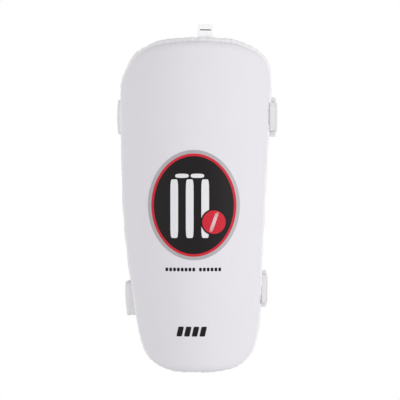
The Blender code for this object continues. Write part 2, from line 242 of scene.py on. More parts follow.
def band(
    name: str,
    path: np.ndarray,
    out: np.ndarray,
    across: np.ndarray,
    half: np.ndarray | float,
    thick: float,
    columns: int,
    cup: np.ndarray | float = 0.0,
    tilt: np.ndarray | float = 0.0,
) -> bpy.types.Object:
    """A flat band carried along a path, with rounded edges and ends.

    Its section is a stadium: straight inside, with half circles of half the thickness at both edges, bent by
    cup times the square of the share across. At both ends the section thins to nothing over a half circle.

    Args:
        name: the piece's name.
        path: the middle line.
        out: the direction that its outer side faces at each point.
        across: the direction of its width.
        half: half its width, all along or at each point.
        thick: its thickness.
        columns: divisions across each side.
        cup: how far its edges stand inside its middle.
        tilt: how far the edge on the far side of its width stands out, and the other one in.

    Returns:
        The closed band, with cloth coordinates along and across it.
    """
    radius = thick / 2
    caps = np.radians([0.0, 30.0, 60.0])
    reach = (radius * np.cos(caps))[:, None]
    step = unit(np.gradient(path, axis=0))
    spine = np.concatenate([path[:1] - step[:1] * reach, path, path[-1:] + step[-1:] * reach[::-1]])
    outs, ways = (ended(value, path.shape, len(caps)) for value in (out, across))
    halves, cups, tilts = (ended(value, path.shape[:1], len(caps)) for value in (half, cup, tilt))
    squeeze = np.concatenate([np.sin(caps), np.ones(len(path)), np.sin(caps[::-1])])[:, None]
    core = np.linspace(-1.0, 1.0, columns + 1)
    flat = np.zeros(len(core))
    arc = np.radians(np.arange(75, -90, -25.0))
    straight = np.concatenate([core, np.ones(len(arc)), core[::-1], -np.ones(len(arc)), core[:1]])
    arc_x = np.concatenate([flat, np.cos(arc), flat, -np.cos(arc), flat[:1]])
    arc_y = np.concatenate([flat + 1, np.sin(arc), flat - 1, -np.sin(arc), flat[:1] + 1])
    sideways = straight * (halves - radius) + arc_x * radius
    share = sideways / halves
    outwards = arc_y * radius * squeeze - cups * share**2 + tilts * share
    points = spine[:, None] + sideways[..., None] * ways + outwards[..., None] * outs
    along = lengths_along(spine)[:, None]
    cloth = np.stack(np.broadcast_arrays(along / MM, sideways / MM), axis=-1)
    return piece_from(name, [Patch(points, cloth)], 70.0)


def thread_bars(
    centres: np.ndarray, along: np.ndarray, up: np.ndarray, length: float, radius: float
) -> Stitches:
    """Stitches: spindles whose radius is (1 - t^4)^(1/2) of the thread's at a share t of half the length.

    Args:
        centres: the middle of each stitch.
        along: the direction of each.
        up: the direction that each stands out of the cloth in.
        length: of a stitch.
        radius: of the thread.

    Returns:
        The stitches, each a closed grid.
    """
    share = np.linspace(-1.0, 1.0, 7)
    turn = np.linspace(0.0, TURN, 7)
    size = radius * np.sqrt(1 - share**4)
    side = unit(np.cross(along, up))
    ring = np.cos(turn)[:, None, None] * side + np.sin(turn)[:, None, None] * unit(up)
    spine = centres[None] + share[:, None, None] * along[None] * (length / 2)
    points = spine[:, None] + size[:, None, None, None] * ring[None]
    cloth = np.zeros(points.shape[:3] + (2,))
    cloth[..., 0] = (share[:, None, None] * length / 2 + np.arange(len(centres)) * length) / MM
    cloth[..., 1] = turn[None, :, None] * radius / MM
    rows, columns, count = points.shape[:3]
    points = points.transpose(2, 0, 1, 3).reshape(count, rows * columns, 3)
    cloth = cloth.transpose(2, 0, 1, 3).reshape(count, rows * columns, 2)
    return Stitches(points, cloth, rows, columns)


# ====================================================================== shader recipes


class Wire:
    """A socket that takes part in arithmetic: an expression on wires adds its Math nodes."""

    def __init__(self, nodes: "Nodes", socket: bpy.types.NodeSocket) -> None:
        """Keeps a node's output and the tree that it is in."""
        self.nodes = nodes
        self.socket = socket

    def __add__(self, other: "Wire | float") -> "Wire":
        """The sum."""
        return self.nodes.math("ADD", self, other)

    def __sub__(self, other: "Wire | float") -> "Wire":
        """The difference."""
        return self.nodes.math("SUBTRACT", self, other)

    def __rsub__(self, other: float) -> "Wire":
        """The difference, from a number."""
        return self.nodes.math("SUBTRACT", other, self)

    def __mul__(self, other: "Wire | float") -> "Wire":
        """The product."""
        return self.nodes.math("MULTIPLY", self, other)

    def __truediv__(self, other: float) -> "Wire":
        """The quotient."""
        return self.nodes.math("DIVIDE", self, other)

    def __pow__(self, other: float) -> "Wire":
        """The power."""
        return self.nodes.math("POWER", self, other)

    __radd__ = __add__
    __rmul__ = __mul__

    def wave(self, pitch: float) -> "Wire":
        """A wave from 0 to 1 that repeats at each pitch."""
        return self.nodes.math("SINE", self * (TURN / pitch)) * 0.5 + 0.5

    def within(self, low: float, high: float) -> "Wire":
        """How far between two values it is, kept from 0 to 1 and eased at both ends."""
        sockets = {"Value": self, "From Min": low, "From Max": high}
        return self.nodes.add("ShaderNodeMapRange", {"interpolation_type": "SMOOTHSTEP"}, sockets)


Value = Wire | float | tuple[float, ...]


class Nodes:
    """A node tree, where one method adds every node."""

    def __init__(self, tree: bpy.types.NodeTree) -> None:
        """Keeps the tree."""
        self.tree = tree

    def add(
        self, kind: str, settings: dict[str, object], sockets: dict[str | int, Value], output: str | int = 0
    ) -> Wire:
        """Adds a node.

        Args:
            kind: the node's type.
            settings: its own settings, which are made first.
            sockets: a value or a wire for each input, by name or number.
            output: the output that is wanted, by name or number.

        Returns:
            That output.
        """
        node = self.tree.nodes.new(kind)
        for key, value in settings.items():
            setattr(node, key, value)
        for key, value in sockets.items():
            self.join(node.inputs[key], value)
        return Wire(self, node.outputs[output])

    def join(self, socket: bpy.types.NodeSocket, value: Value) -> None:
        """Links a wire to an input, or sets a value on it."""
        if isinstance(value, Wire):
            self.tree.links.new(value.socket, socket)
        else:
            socket.default_value = value

    def math(self, operation: str, *values: Value) -> Wire:
        """A Math node on one or two values."""
        return self.add("ShaderNodeMath", {"operation": operation}, dict(enumerate(values)))

    def part(self, vector: Wire, axis: str) -> Wire:
        """One of a vector's three values."""
        return self.add("ShaderNodeSeparateXYZ", {}, {0: vector}, axis)

    def joined(self, x: Value, y: Value, z: Value) -> Wire:
        """A vector from three values."""
        return self.add("ShaderNodeCombineXYZ", {}, {0: x, 1: y, 2: z})


class Recipe(Nodes):
    """A material's nodes, fed into one Principled shader."""

    def __init__(self, name: str) -> None:
        """Makes the material."""
        self.material = bpy.data.materials.new(name)
        self.material.use_nodes = True
        super().__init__(self.material.node_tree)
        self.shader = self.tree.nodes["Principled BSDF"]

    def place(self, axis: str) -> Wire:
        """One of the object's own coordinates, in millimetres."""
        return self.part(self.add("ShaderNodeTexCoord", {}, {}, "Object"), axis) * (1 / MM)

    def cloth(self, axis: str) -> Wire:
        """A coordinate in the cloth, in millimetres: X along its first direction, Y along its second."""
        return self.part(self.add("ShaderNodeUVMap", {"uv_map": "cloth"}, {}, "UV"), axis)

    def noise(self, where: Wire, scale: float, detail: float = 2.0, rough: float = 0.5) -> Wire:
        """Cloudy noise around 0.5, with so many lumps in each unit of the given coordinates."""
        sockets = {"Vector": where, "Scale": scale, "Detail": detail, "Roughness": rough}
        return self.add("ShaderNodeTexNoise", {}, sockets, "Fac")

    def cells(self, where: Wire, scale: float) -> Wire:
        """Distance to the nearest of scattered points, with so many points in each unit."""
        return self.add("ShaderNodeTexVoronoi", {}, {"Vector": where, "Scale": scale}, "Distance")

    def relief(self, height: Wire, depth: float) -> None:
        """Feeds a height from 0 to 1 to the shader's normal, as relief of so many metres."""
        sockets = {"Height": height, "Distance": depth, "Strength": 1.0}
        self.feed(Normal=self.add("ShaderNodeBump", {}, sockets))

    def feed(self, **sockets: Value) -> None:
        """Feeds the shader's own sockets; an underscore stands for a space."""
        for key, value in sockets.items():
            self.join(self.shader.inputs[key.replace("_", " ")], value)


# ====================================================================== finishes


@dataclass(frozen=True)
class Finish:
    """What every finish has: the name of its material, and a middle colour."""

    name: str
    colour: Three

    def tinted(self, recipe: Recipe, tone: Wire, low: float, high: float) -> Wire:
        """The colour times low where the tone is 0, times high where it is 1, and kept below 1."""
        ends = [(*(min(1.0, part * factor) for part in self.colour), 1.0) for factor in (low, high)]
        return recipe.add("ShaderNodeMix", {"data_type": "RGBA"}, {0: tone, 6: ends[0], 7: ends[1]}, 2)


@dataclass(frozen=True)
class KnitFinish(Finish):
    """The moulded face's cloth: a fine warp knit whose wales run along the forearm."""

    name: str = "moulded_knit"
    colour: Three = (0.790, 0.768, 0.815)
    wale: float = 0.95  # pitch of the wales, in millimetres
    course: float = 0.80
    depth: float = 0.00007

    def make(self) -> bpy.types.Material:
        """Wales and courses cross in relief; long faint streaks and soft clouds vary the colour."""
        recipe = Recipe(self.name)
        across, along = recipe.cloth("X"), recipe.cloth("Y")
        where = recipe.joined(across, along, 0.0)
        wander = recipe.noise(recipe.joined(across, along * 0.12, 0.0), 0.35)
        wales = (across + wander * 0.25).wave(self.wale)
        loops = (along + wales * 0.25).wave(self.course)
        fuzz = recipe.noise(where, 3.1, 3.0, 0.6)
        recipe.relief(wales * 0.55 + loops * 0.25 + fuzz * 0.45, self.depth)
        streaks = recipe.noise(recipe.joined(across, along * 0.02, 0.0), 0.75, 3.0, 0.65)
        clouds = recipe.noise(where, 0.035)
        tone = streaks * 0.45 + clouds * 0.35 + wales * 0.12 + fuzz * 0.08
        recipe.feed(
            Base_Color=self.tinted(recipe, tone, 0.955, 1.045),
            Roughness=0.80 + fuzz * 0.14,
            Sheen_Weight=0.12,
            Sheen_Roughness=0.55,
            Specular_IOR_Level=0.25,
        )
        return recipe.material


@dataclass(frozen=True)
class TowelFinish(Finish):
    """Towelling: short loops that stand in rows."""

    name: str
    colour: Three = (0.835, 0.825, 0.850)
    loop: float = 0.95  # loops in each millimetre
    depth: float = 0.00040

    def make(self) -> bpy.types.Material:
        """Scattered round loops over a softer nap, darker between the loops."""
        recipe = Recipe(self.name)
        where = recipe.joined(recipe.place("X"), recipe.place("Y"), recipe.place("Z") * 0.8)
        loops = recipe.cells(where, self.loop).within(0.75, 0.05)
        nap = recipe.noise(where, 0.45, 3.0, 0.6)
        recipe.relief(loops * 0.7 + nap * 0.5, self.depth)
        tone = loops * 0.45 + nap * 0.25 + recipe.noise(where, 0.05) * 0.3
        recipe.feed(
            Base_Color=self.tinted(recipe, tone, 0.88, 1.07),
            Roughness=0.88 + nap * 0.1,
            Sheen_Weight=0.25,
            Sheen_Roughness=0.6,
            Specular_IOR_Level=0.2,
        )
        return recipe.material


@dataclass(frozen=True)
class WovenFinish(Finish):
    """Webbing and elastic: lengthwise ribs crossed by the weft, with a sewn-in groove inside each edge."""

    edge: float  # half the band's width, in millimetres
    rib: float = 0.9  # pitch of the ribs, in millimetres
    weft: float = 1.1
    depth: float = 0.00014

    def make(self) -> bpy.types.Material:
        """The ribs' wave and the weft's, which is offset on every second rib, as in a plain weave."""
        recipe = Recipe(self.name)
        along, across = recipe.cloth("X"), recipe.cloth("Y")
        ribs = across.wave(self.rib)
        offset = recipe.math("FLOOR", across / self.rib) * (self.weft / 2)
        picks = (along + offset).wave(self.weft)
        where = recipe.joined(along, across, recipe.place("Y"))
        fuzz = recipe.noise(where, 2.6, 3.0, 0.6)
        inside = self.edge - recipe.math("ABSOLUTE", across)
        groove = inside.within(2.2, 2.6) * inside.within(3.3, 2.9)
        recipe.relief(ribs * 0.5 + picks * 0.3 + fuzz * 0.25 - groove * 0.8, self.depth)
        clouds = recipe.noise(where, 0.07)
        tone = ribs * 0.35 + picks * 0.2 + clouds * 0.2 + fuzz * 0.25 - groove * 0.3
        recipe.feed(
            Base_Color=self.tinted(recipe, tone, 0.90, 1.06),
            Roughness=0.72 + fuzz * 0.18,
            Sheen_Weight=0.12,
            Specular_IOR_Level=0.3,
        )
        return recipe.material


@dataclass(frozen=True)
class TapeFinish(Finish):
    """Hook tape or loop tape: fine scattered bristles or loops between bare edges."""

    density: float  # bristles in each millimetre
    rough: float
    depth: float
    edge: float  # half the tape's width, in millimetres

    def make(self) -> bpy.types.Material:
        """Points of the pile stand up and are lighter than the ground between them."""
        recipe = Recipe(self.name)
        along, across = recipe.cloth("X"), recipe.cloth("Y")
        where = recipe.joined(along, across, 0.0)
        pile = recipe.cells(where, self.density).within(0.55, 0.10)
        fuzz = recipe.noise(where, 2.0, 3.0, 0.65)
        inside = (self.edge - recipe.math("ABSOLUTE", across)).within(1.3, 1.9)
        recipe.relief((pile * 0.8 + fuzz * 0.4) * inside, self.depth)
        recipe.feed(
            Base_Color=self.tinted(recipe, pile * inside * 0.6 + fuzz * 0.3 + inside * 0.1, 0.80, 1.08),
            Roughness=self.rough + fuzz * 0.15,
            Specular_IOR_Level=0.35,
        )
        return recipe.material


@dataclass(frozen=True)
class SatinFinish(Finish):
    """The label's satin ribbon: smooth, with fine crosswise floats."""

    name: str = "satin_ribbon"
    colour: Three = (0.96, 0.96, 0.97)

    def make(self) -> bpy.types.Material:
        """Fine floats across the ribbon, which also break up the gloss."""
        recipe = Recipe(self.name)
        along, across = recipe.cloth("X"), recipe.cloth("Y")
        floats = (along + across * 0.15).wave(0.35)
        fuzz = recipe.noise(recipe.joined(along, across, 0.0), 1.2)
        recipe.relief(floats * 0.6 + fuzz * 0.4, 0.00003)
        recipe.feed(
            Base_Color=self.tinted(recipe, fuzz, 0.97, 1.03),
            Roughness=0.34 + floats * 0.12,
            Specular_IOR_Level=0.45,
        )
        return recipe.material


@dataclass(frozen=True)
class FilmFinish(Finish):
    """A heat-pressed film: nearly even colour, with the knit just showing through."""

    rough: float = 0.48
    metal: float = 0.0
    gloss: float = 0.22

    def make(self) -> bpy.types.Material:
        """The knit's wales and a fine grain, much weakened."""
        recipe = Recipe(self.name)
        across, along = recipe.cloth("X"), recipe.cloth("Y")
        grain = recipe.noise(recipe.joined(across, along, 0.0), 1.4, 3.0, 0.6)
        recipe.relief(across.wave(KnitFinish.wale) * 0.5 + grain * 0.5, 0.00003)
        recipe.feed(
            Base_Color=self.tinted(recipe, grain, 0.90, 1.10),
            Roughness=self.rough + grain * 0.16,
            Metallic=self.metal,
            Specular_IOR_Level=self.gloss,
        )
        return recipe.material


@dataclass(frozen=True)
class ThreadFinish(Finish):
    """Sewing thread: two plies twisted together."""

    name: str = "sewing_thread"
    colour: Three = (0.80, 0.79, 0.82)

    def make(self) -> bpy.types.Material:
        """A slanting wave round the thread for its twist."""
        recipe = Recipe(self.name)
        twist = (recipe.cloth("X") + recipe.cloth("Y") * 0.8).wave(0.55)
        recipe.relief(twist, 0.00006)
        recipe.feed(
            Base_Color=self.tinted(recipe, twist, 0.86, 1.05), Roughness=0.62, Specular_IOR_Level=0.4
        )
        return recipe.material


@dataclass(frozen=True)
class FoamFinish(Finish):
    """Closed-cell foam: fine cells of mixed sizes."""

    cell: float  # cells in each millimetre

    def make(self) -> bpy.types.Material:
        """Cells in relief at two sizes, darker in their hollows."""
        recipe = Recipe(self.name)
        where = recipe.joined(recipe.place("X"), recipe.place("Y"), recipe.place("Z"))
        fine = recipe.cells(where, self.cell)
        height = fine * 0.6 + recipe.cells(where, self.cell * 0.4) * 0.4
        recipe.relief(height, 0.00025)
        recipe.feed(
            Base_Color=self.tinted(recipe, height, 1.15, 0.75),
            Roughness=0.85 + fine * 0.1,
            Specular_IOR_Level=0.25,
        )
        return recipe.material


def dress(
    piece: bpy.types.Object,
    material: bpy.types.Material,
    body: str | None,
    nodes: Sequence[str] = (),
) -> bpy.types.Object:
    """Gives a piece its material, and lets it ride on a body.

    Args:
        piece: the piece.
        material: its finish.
        body: the body that it rides on, or None where it rides on none.
        nodes: the CAD nodes that it stands for.

    Returns:
        The same piece.
    """
    piece.data.materials.clear()
    piece.data.materials.append(material)
    if body:
        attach(piece, body)
    if nodes:
        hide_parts(*nodes)
    log.info("%s: %d faces on %s", piece.name, len(piece.data.polygons), body or "two bodies")
    return piece


@cache
def thread() -> bpy.types.Material:
    """The one thread that everything is sewn with."""
    return ThreadFinish().make()


def sew(name: str, rows: Sequence[Stitches], body: str) -> None:
    """Makes one piece of rows of stitches, in thread."""
    dress(piece_from(name, rows, 80.0), thread(), body)


# ====================================================================== the guard's form


@dataclass(frozen=True)
class Inset:
    """How far inside the rim's outline a smaller outline lies."""

    side: float = 0.0
    elbow: float = 0.0
    wrist: float = 0.0

    def deeper(self, distance: float) -> "Inset":
        """The outline the same distance further in all round."""
        return Inset(self.side + distance, self.elbow + distance, self.wrist + distance)


@dataclass(frozen=True)
class Nudge:
    """A place where the made guard is out of true: the form moves there, less and less with the distance."""

    x: float
    z: float
    move_x: float
    move_z: float
    reach: float

    def share(self, x: np.ndarray, z: np.ndarray) -> np.ndarray:
        """A bell curve of the distance from the place."""
        return np.exp(-((x - self.x) ** 2 + (z - self.z) ** 2) / self.reach**2)


@dataclass(frozen=True)
class GuardForm:
    """The outline, arch and layers that all pieces follow, as the CAD has them.

    A flat point is (x, z). A station says where on an outline a point is: 0 at the wrist end's middle, 1 and
    2 at the ends of the right side, 3 at the elbow end's middle, and on to 6 back at the wrist end.
    """

    half: float  # half the length over the rim
    width_elbow: float = 0.1342
    width_middle: float = 0.1260
    width_wrist: float = 0.0990
    corner_elbow: float = 0.049
    corner_wrist: float = 0.050
    square_elbow: float = 3.0
    square_wrist: float = 3.3
    wrap: float = math.radians(65)
    bow: float = 0.007
    arm_radius: float = 0.044
    lining_back: float = 0.0194  # depths below the face
    shell_front: float = 0.0014
    shell_back: float = 0.0094
    comfort_front: float = 0.0098
    side_fill: float = 0.0094
    rim_radius: float = 0.0044
    rim_gap: float = 0.0008
    skirt: tuple[float, float] = (0.0050, 0.0094)  # at the sides and at the ends
    roll_reach: float = 0.0070
    roll_depth: float = 0.0050
    clear: float = 0.0003  # between pieces that touch
    rim: Inset = Inset()
    cover: Inset = Inset(0.0020, 0.0047, 0.0015)
    lean: float = 0.244  # how the middle line sways: a parabola about a height
    lean_from: float = 0.015
    lean_low: float = -0.0015
    wave_depth: float = 0.00007  # of the foam's slow waves
    nudges: tuple[Nudge, ...] = (
        Nudge(-0.036, -0.138, -0.0017, -0.0011, 0.016),
        Nudge(-0.061, 0.123, 0.0014, -0.0006, 0.016),
        Nudge(-0.066, 0.040, 0.0010, 0.0, 0.030),
        Nudge(-0.027, 0.146, 0.0, -0.0009, 0.011),
        Nudge(-0.008, -0.145, 0.0, -0.0003, 0.014),
        Nudge(0.061, 0.129, 0.0009, 0.0008, 0.011),
        Nudge(0.019, 0.147, 0.0, -0.0009, 0.006),
        Nudge(0.058, -0.083, 0.0011, 0.0, 0.024),
        Nudge(-0.056, -0.088, 0.0007, 0.0, 0.030),
    )

    @property
    def rim_depth(self) -> tuple[float, float]:
        """Depth of the rim roll's middle at the sides and at the ends."""
        below = self.rim_gap + self.rim_radius
        return self.skirt[0] + below, self.skirt[1] + below

    def half_width(self, z: np.ndarray) -> np.ndarray:
        """Half the rim's width at a height: a parabola through the widths at the ends and the middle."""
        share = z / self.half
        slope = (self.width_elbow - self.width_wrist) / 2
        bend = (self.width_elbow + self.width_wrist) / 2 - self.width_middle
        return (self.width_middle + slope * share + bend * share**2) / 2

    def outline(self, stations: np.ndarray, inset: Inset) -> np.ndarray:
        """Flat points of an outline.

        A corner is a quarter of a superellipse, |x/a|^n + |z/b|^n = 1, met in the direction 90 degrees times
        the station's fraction; a side runs straight up in height, as wide as half_width says.

        Args:
            stations: where on the outline.
            inset: how far inside the rim's outline.

        Returns:
            A flat point for each station.
        """
        low_z = self.corner_wrist - self.half
        high_z = self.half - self.corner_elbow
        station = np.where(stations <= 3, stations, 6 - stations)
        at_wrist = station < 1
        turn = QUARTER * np.clip(np.where(at_wrist, station, 3 - station), 0.0, 1.0)
        power = np.where(at_wrist, self.square_wrist, self.square_elbow)
        out, along = np.sin(turn), np.maximum(np.cos(turn), 0.0)
        size = (out**power + along**power) ** (1 / power)
        base_z = np.where(at_wrist, low_z, high_z)
        end_z = np.where(at_wrist, inset.wrist - self.half, self.half - inset.elbow)
        corner_z = base_z + (end_z - base_z) * along / size
        side_z = low_z + (high_z - low_z) * np.clip(station - 1, 0.0, 1.0)
        on_side = (station >= 1) & (station <= 2)
        z = np.where(on_side, side_z, corner_z)
        x = (self.half_width(z) - inset.side) * np.where(on_side, 1.0, out / size)
        return np.stack([np.where(stations <= 3, x, -x), z], axis=1)

    def stations(self, count: int) -> np.ndarray:
        """Stations of so many points spaced evenly round the rim, the last the same as the first."""
        fine = np.linspace(0.0, 6.0, 6001)
        along = lengths_along(self.outline(fine, self.rim))
        return np.interp(np.linspace(0.0, along[-1], count + 1), along, fine)

    def growth(self, stations: np.ndarray, inset: Inset, shares: np.ndarray) -> np.ndarray:
        """Outlines that grow from the guard's middle line to an inset one.

        Args:
            stations: where on the outlines.
            inset: the widest outline's.
            shares: how far each outline has grown, from 0 to 1.

        Returns:
            A row of flat points for each share.
        """
        full = self.outline(stations, inset)
        z = np.clip(full[:, 1], self.corner_wrist - self.half, self.half - self.corner_elbow)
        middle = np.stack([np.zeros_like(z), z], axis=1)
        return middle[None] + (full - middle)[None] * shares[:, None, None]

    def face_y(self, flat: np.ndarray) -> np.ndarray:
        """Depth of the moulded face before its edge rolls over.

        It is an arc across that turns by the wrap on each side, and both ends stand back by the bow times the
        square of their share of the length.

        Args:
            flat: flat points.

        Returns:
            y at each of them.
        """
        x, z = flat[..., 0], flat[..., 1]
        sine, cosine = math.sin(self.wrap), math.cos(self.wrap)
        crown = self.width_middle / 2 / sine
        edge = crown * (1 - cosine) - self.lining_back - self.arm_radius
        radius = self.half_width(z) / sine
        across = np.sqrt(np.maximum(radius**2 - np.minimum(np.abs(x), radius) ** 2, 0.0))
        return edge + self.bow * (z / self.half) ** 2 + radius * cosine - across

    def surface_y(self, flat: np.ndarray) -> np.ndarray:
        """Depth of the real skin: the face's, and the slow waves of the foam beneath, two sines of sines."""
        x, z = flat[..., 0], flat[..., 1]
        a = np.sin(x / 0.021 + 1.3 * np.sin(z / 0.047))
        b = np.sin(z / 0.029 + 0.8 * np.sin(x / 0.026 + 2.0))
        return self.face_y(flat) + self.wave_depth * (a + b)

    def sway(self, z: np.ndarray) -> np.ndarray:
        """How far to the right the guard's middle line lies at a height."""
        return self.lean_low + self.lean * (z - self.lean_from) ** 2

    def swayed(self, points: np.ndarray) -> np.ndarray:
        """Points moved with the middle line, and by the nudges."""
        x, z = points[..., 0], points[..., 2]
        moved = points.copy()
        moved[..., 0] += self.sway(z)
        for nudge in self.nudges:
            share = nudge.share(x, z)
            moved[..., 0] += nudge.move_x * share
            moved[..., 2] += nudge.move_z * share
        return moved

    def solid(self, flat: np.ndarray, depth: np.ndarray) -> np.ndarray:
        """Points in space over flat points, at depths given as y."""
        return np.stack([flat[..., 0], depth, flat[..., 1]], axis=-1)

    def cloth(self, points: np.ndarray) -> np.ndarray:
        """Coordinates in the skin, in millimetres: the arc's length across and the height."""
        radius = self.half_width(points[..., 2]) / math.sin(self.wrap)
        across = radius * np.arcsin(np.clip(points[..., 0] / radius, -1.0, 1.0))
        return np.stack([across, points[..., 2]], axis=-1) / MM

    def edge_line(self, stations: np.ndarray, inset: Inset, depth: tuple[float, float]) -> np.ndarray:
        """Points on an inset outline, at a depth below the face that passes from the sides' to the ends'.

        Args:
            stations: where on the outline.
            inset: the outline's.
            depth: at the sides and at the ends.

        Returns:
            A point in space for each station.
        """
        full = self.outline(stations, self.rim)
        share = (full[:, 0] / self.half_width(full[:, 1])) ** 2
        y = self.face_y(full) + depth[1] + (depth[0] - depth[1]) * share
        return self.solid(self.outline(stations, inset), y)

    def moulded(self, name: str, rows: Sequence[np.ndarray], sharp: float) -> bpy.types.Object:
        """A piece of rows of points that follow the form, moved with its sway and nudges."""
        points = np.concatenate(rows)
        return piece_from(name, [Patch(self.swayed(points), self.cloth(points))], sharp)


# ====================================================================== the moulded front


@dataclass
class MouldedFront:
    """The white skin of the face, and the firm foam that it is moulded over."""

    form: GuardForm
    skin: float = 0.0010

    def rolled_rows(
        self, stations: np.ndarray, rings: int, rolls: int, below: float, inside: float, behind: float = 0.0
    ) -> list[np.ndarray]:
        """Rows of points from the middle line out, and on round the edge.

        Over the last 7 mm the edge rolls over by a quarter ellipse: depth times 1 - sqrt(1 - left^2), where
        left is the share of that reach still to go.

        Args:
            stations: where round the form.
            rings: rows on the face.
            rolls: rows on the rolled edge, the face's last among them.
            below: how far below the skin's outer side.
            inside: how far inside the cover's outline the last row lies.
            behind: how much further back the rolled rows lie.

        Returns:
            The rows, face first.
        """
        form = self.form
        flat = form.growth(stations, form.cover.deeper(form.roll_reach), np.linspace(0.0, 1.0, rings))
        rows = [form.solid(flat, form.surface_y(flat) + below)]
        for turn in np.linspace(0.0, QUARTER, rolls)[1:]:
            distance = max(form.roll_reach * (1 - math.sin(turn)), inside)
            flat = form.outline(stations, form.cover.deeper(distance))
            depth = form.surface_y(flat) + below * math.cos(turn) + form.roll_depth * (1 - math.cos(turn))
            rows.append(form.solid(flat, depth + behind)[None])
        return rows

    def skin_rows(self, stations: np.ndarray, below: float) -> np.ndarray:
        """The rolled rows, and four more down the skirt to its back edge."""
        rows = self.rolled_rows(stations, 30, 10, below, below)
        back = self.form.edge_line(stations, self.form.cover.deeper(below), self.form.skirt)
        last = rows[-1][0]
        for share in (0.25, 0.5, 0.75, 1.0):
            rows.append((last + (back - last) * share)[None])
        return np.concatenate(rows)

    def make_skin(self) -> bpy.types.Object:
        """The skin: face, rolled edge, skirt and the turned-in hem, then the same back on its inner side."""
        form = self.form
        stations = form.stations(420)
        hem = form.edge_line(stations, form.cover.deeper(self.skin / 2), form.skirt)
        hem[:, 1] += form.clear
        inner = self.skin_rows(stations, self.skin)[::-1]
        return form.moulded("moulded_face", [self.skin_rows(stations, 0.0), hem[None], inner], 75.0)

    def make_foam(self) -> bpy.types.Object:
        """The firm foam: it fills the skin, with a flat edge."""
        form = self.form
        stations = form.stations(240)
        inside = self.skin + form.clear
        rows = self.rolled_rows(stations, 20, 6, form.shell_front, inside, form.clear)
        flat = form.growth(stations, form.cover.deeper(inside), np.linspace(1.0, 0.0, 20))
        rows.append(form.solid(flat, form.face_y(flat) + form.shell_back))
        return form.moulded("firm_foam", rows, 40.0)

    def build(self) -> None:
        """Makes both pieces, dresses them and lets them ride on the guard."""
        skin = dress(self.make_skin(), KnitFinish().make(), "guard", ["face_cover"])
        finish = FoamFinish("firm_foam", (0.50, 0.50, 0.52), 1.6)
        foam = dress(self.make_foam(), finish.make(), "guard", ["foam_shell"])


# ====================================================================== the padded rim


@dataclass
class PaddedRim:
    """The soft roll that borders the guard, gathered a little by its seams."""

    form: GuardForm
    around: int = 640
    sides: int = 22
    pucker: float = 0.00036  # how deep the gathers are
    swell: float = 0.00026  # how far the roll's radius varies along it
    wander: float = 0.00050  # how far the ends' outline wanders
    stitch: float = 0.0022
    thread: float = 0.00028
    stitches: int = 363

    def near_ends(self, line: np.ndarray) -> np.ndarray:
        """0 along the sides, 1 round the two ends."""
        return smooth_step((np.abs(line[:, 2]) - 0.100) / 0.03)

    def frame_at(self, stations: np.ndarray) -> tuple[np.ndarray, np.ndarray, np.ndarray, np.ndarray]:
        """The roll's middle line and its outward, backward and along directions.

        Outward lies square to the line and to Y; at the two ends the line wanders by two slow sines, as the
        cloth is not sewn to a perfect curve there.

        Args:
            stations: where round the form.

        Returns:
            Points and three sets of directions, one of each for a station.
        """
        form = self.form
        line = form.edge_line(stations, form.rim.deeper(form.rim_radius), form.rim_depth)
        along = unit(np.roll(line[:-1], -1, axis=0) - np.roll(line[:-1], 1, axis=0))
        along = np.concatenate([along, along[:1]])
        out = unit(np.cross(along, np.array([0.0, 1.0, 0.0])))
        out *= np.sign(np.sum(out * line * [1.0, 0.0, 1.0], axis=1))[:, None]
        back = unit(np.cross(out, along))
        back *= np.sign(back[:, 1:2])
        walk = lengths_along(line) / MM
        slow = np.sin(walk / 7.9 + 1.1) * 0.6 + np.sin(walk / 4.7 + 2.6) * 0.4
        closing = np.sin(np.linspace(0.0, math.pi, len(walk))) ** 0.25
        line = line + out * (self.wander * slow * self.near_ends(line) * closing)[:, None]
        return line, out, back, along

    def make_roll(self) -> bpy.types.Object:
        """A tube of radius r (1 + gathers): the gathers are sines along the line, and their pitch wavers."""
        form = self.form
        line, out, back, _ = self.frame_at(form.stations(self.around))
        walk = lengths_along(line)
        phase = TURN * walk / walk[-1]
        gather = np.sin(phase * 131 + 2.1 * np.sin(phase * 17))
        gather = gather + 0.6 * np.sin(phase * 83 + 1.4 * np.sin(phase * 11))
        swell = self.swell * np.sin(phase * 23 + np.sin(phase * 5))
        turns = np.linspace(0.0, TURN, self.sides + 1)
        inward = 0.35 + 0.65 * (0.5 - 0.5 * np.cos(turns)) ** 0.7
        deep = self.pucker * (1 + 0.6 * self.near_ends(line)) * gather
        size = form.rim_radius + swell[:, None] + deep[:, None] * inward[None]
        ring = np.cos(turns)[None, :, None] * out[:, None] + np.sin(turns)[None, :, None] * back[:, None]
        points = line[:, None] + ring * size[..., None]
        cloth = np.stack(np.broadcast_arrays(walk[:, None] / MM, turns[None] * form.rim_radius / MM), axis=-1)
        return piece_from("padded_rim", [Patch(form.swayed(points), cloth)], 80.0)

    def build(self) -> None:
        """Makes the roll, and the stitches that hold it to the lining, on its inner back side."""
        form = self.form
        finish = TowelFinish("rim_cloth", (0.93, 0.92, 0.94), depth=0.00028)
        roll = dress(self.make_roll(), finish.make(), "guard", ["rim_roll"])
        line, out, back, along = self.frame_at(form.stations(self.stitches))
        way = unit(back * 0.62 - out * 0.78)
        centres = form.swayed((line + way * (form.rim_radius + 0.00015))[:-1])
        bars = thread_bars(centres, along[:-1], way[:-1], self.stitch * 0.78, self.thread)
        sew("rim_stitches", [bars], "guard")


# ====================================================================== the back pad


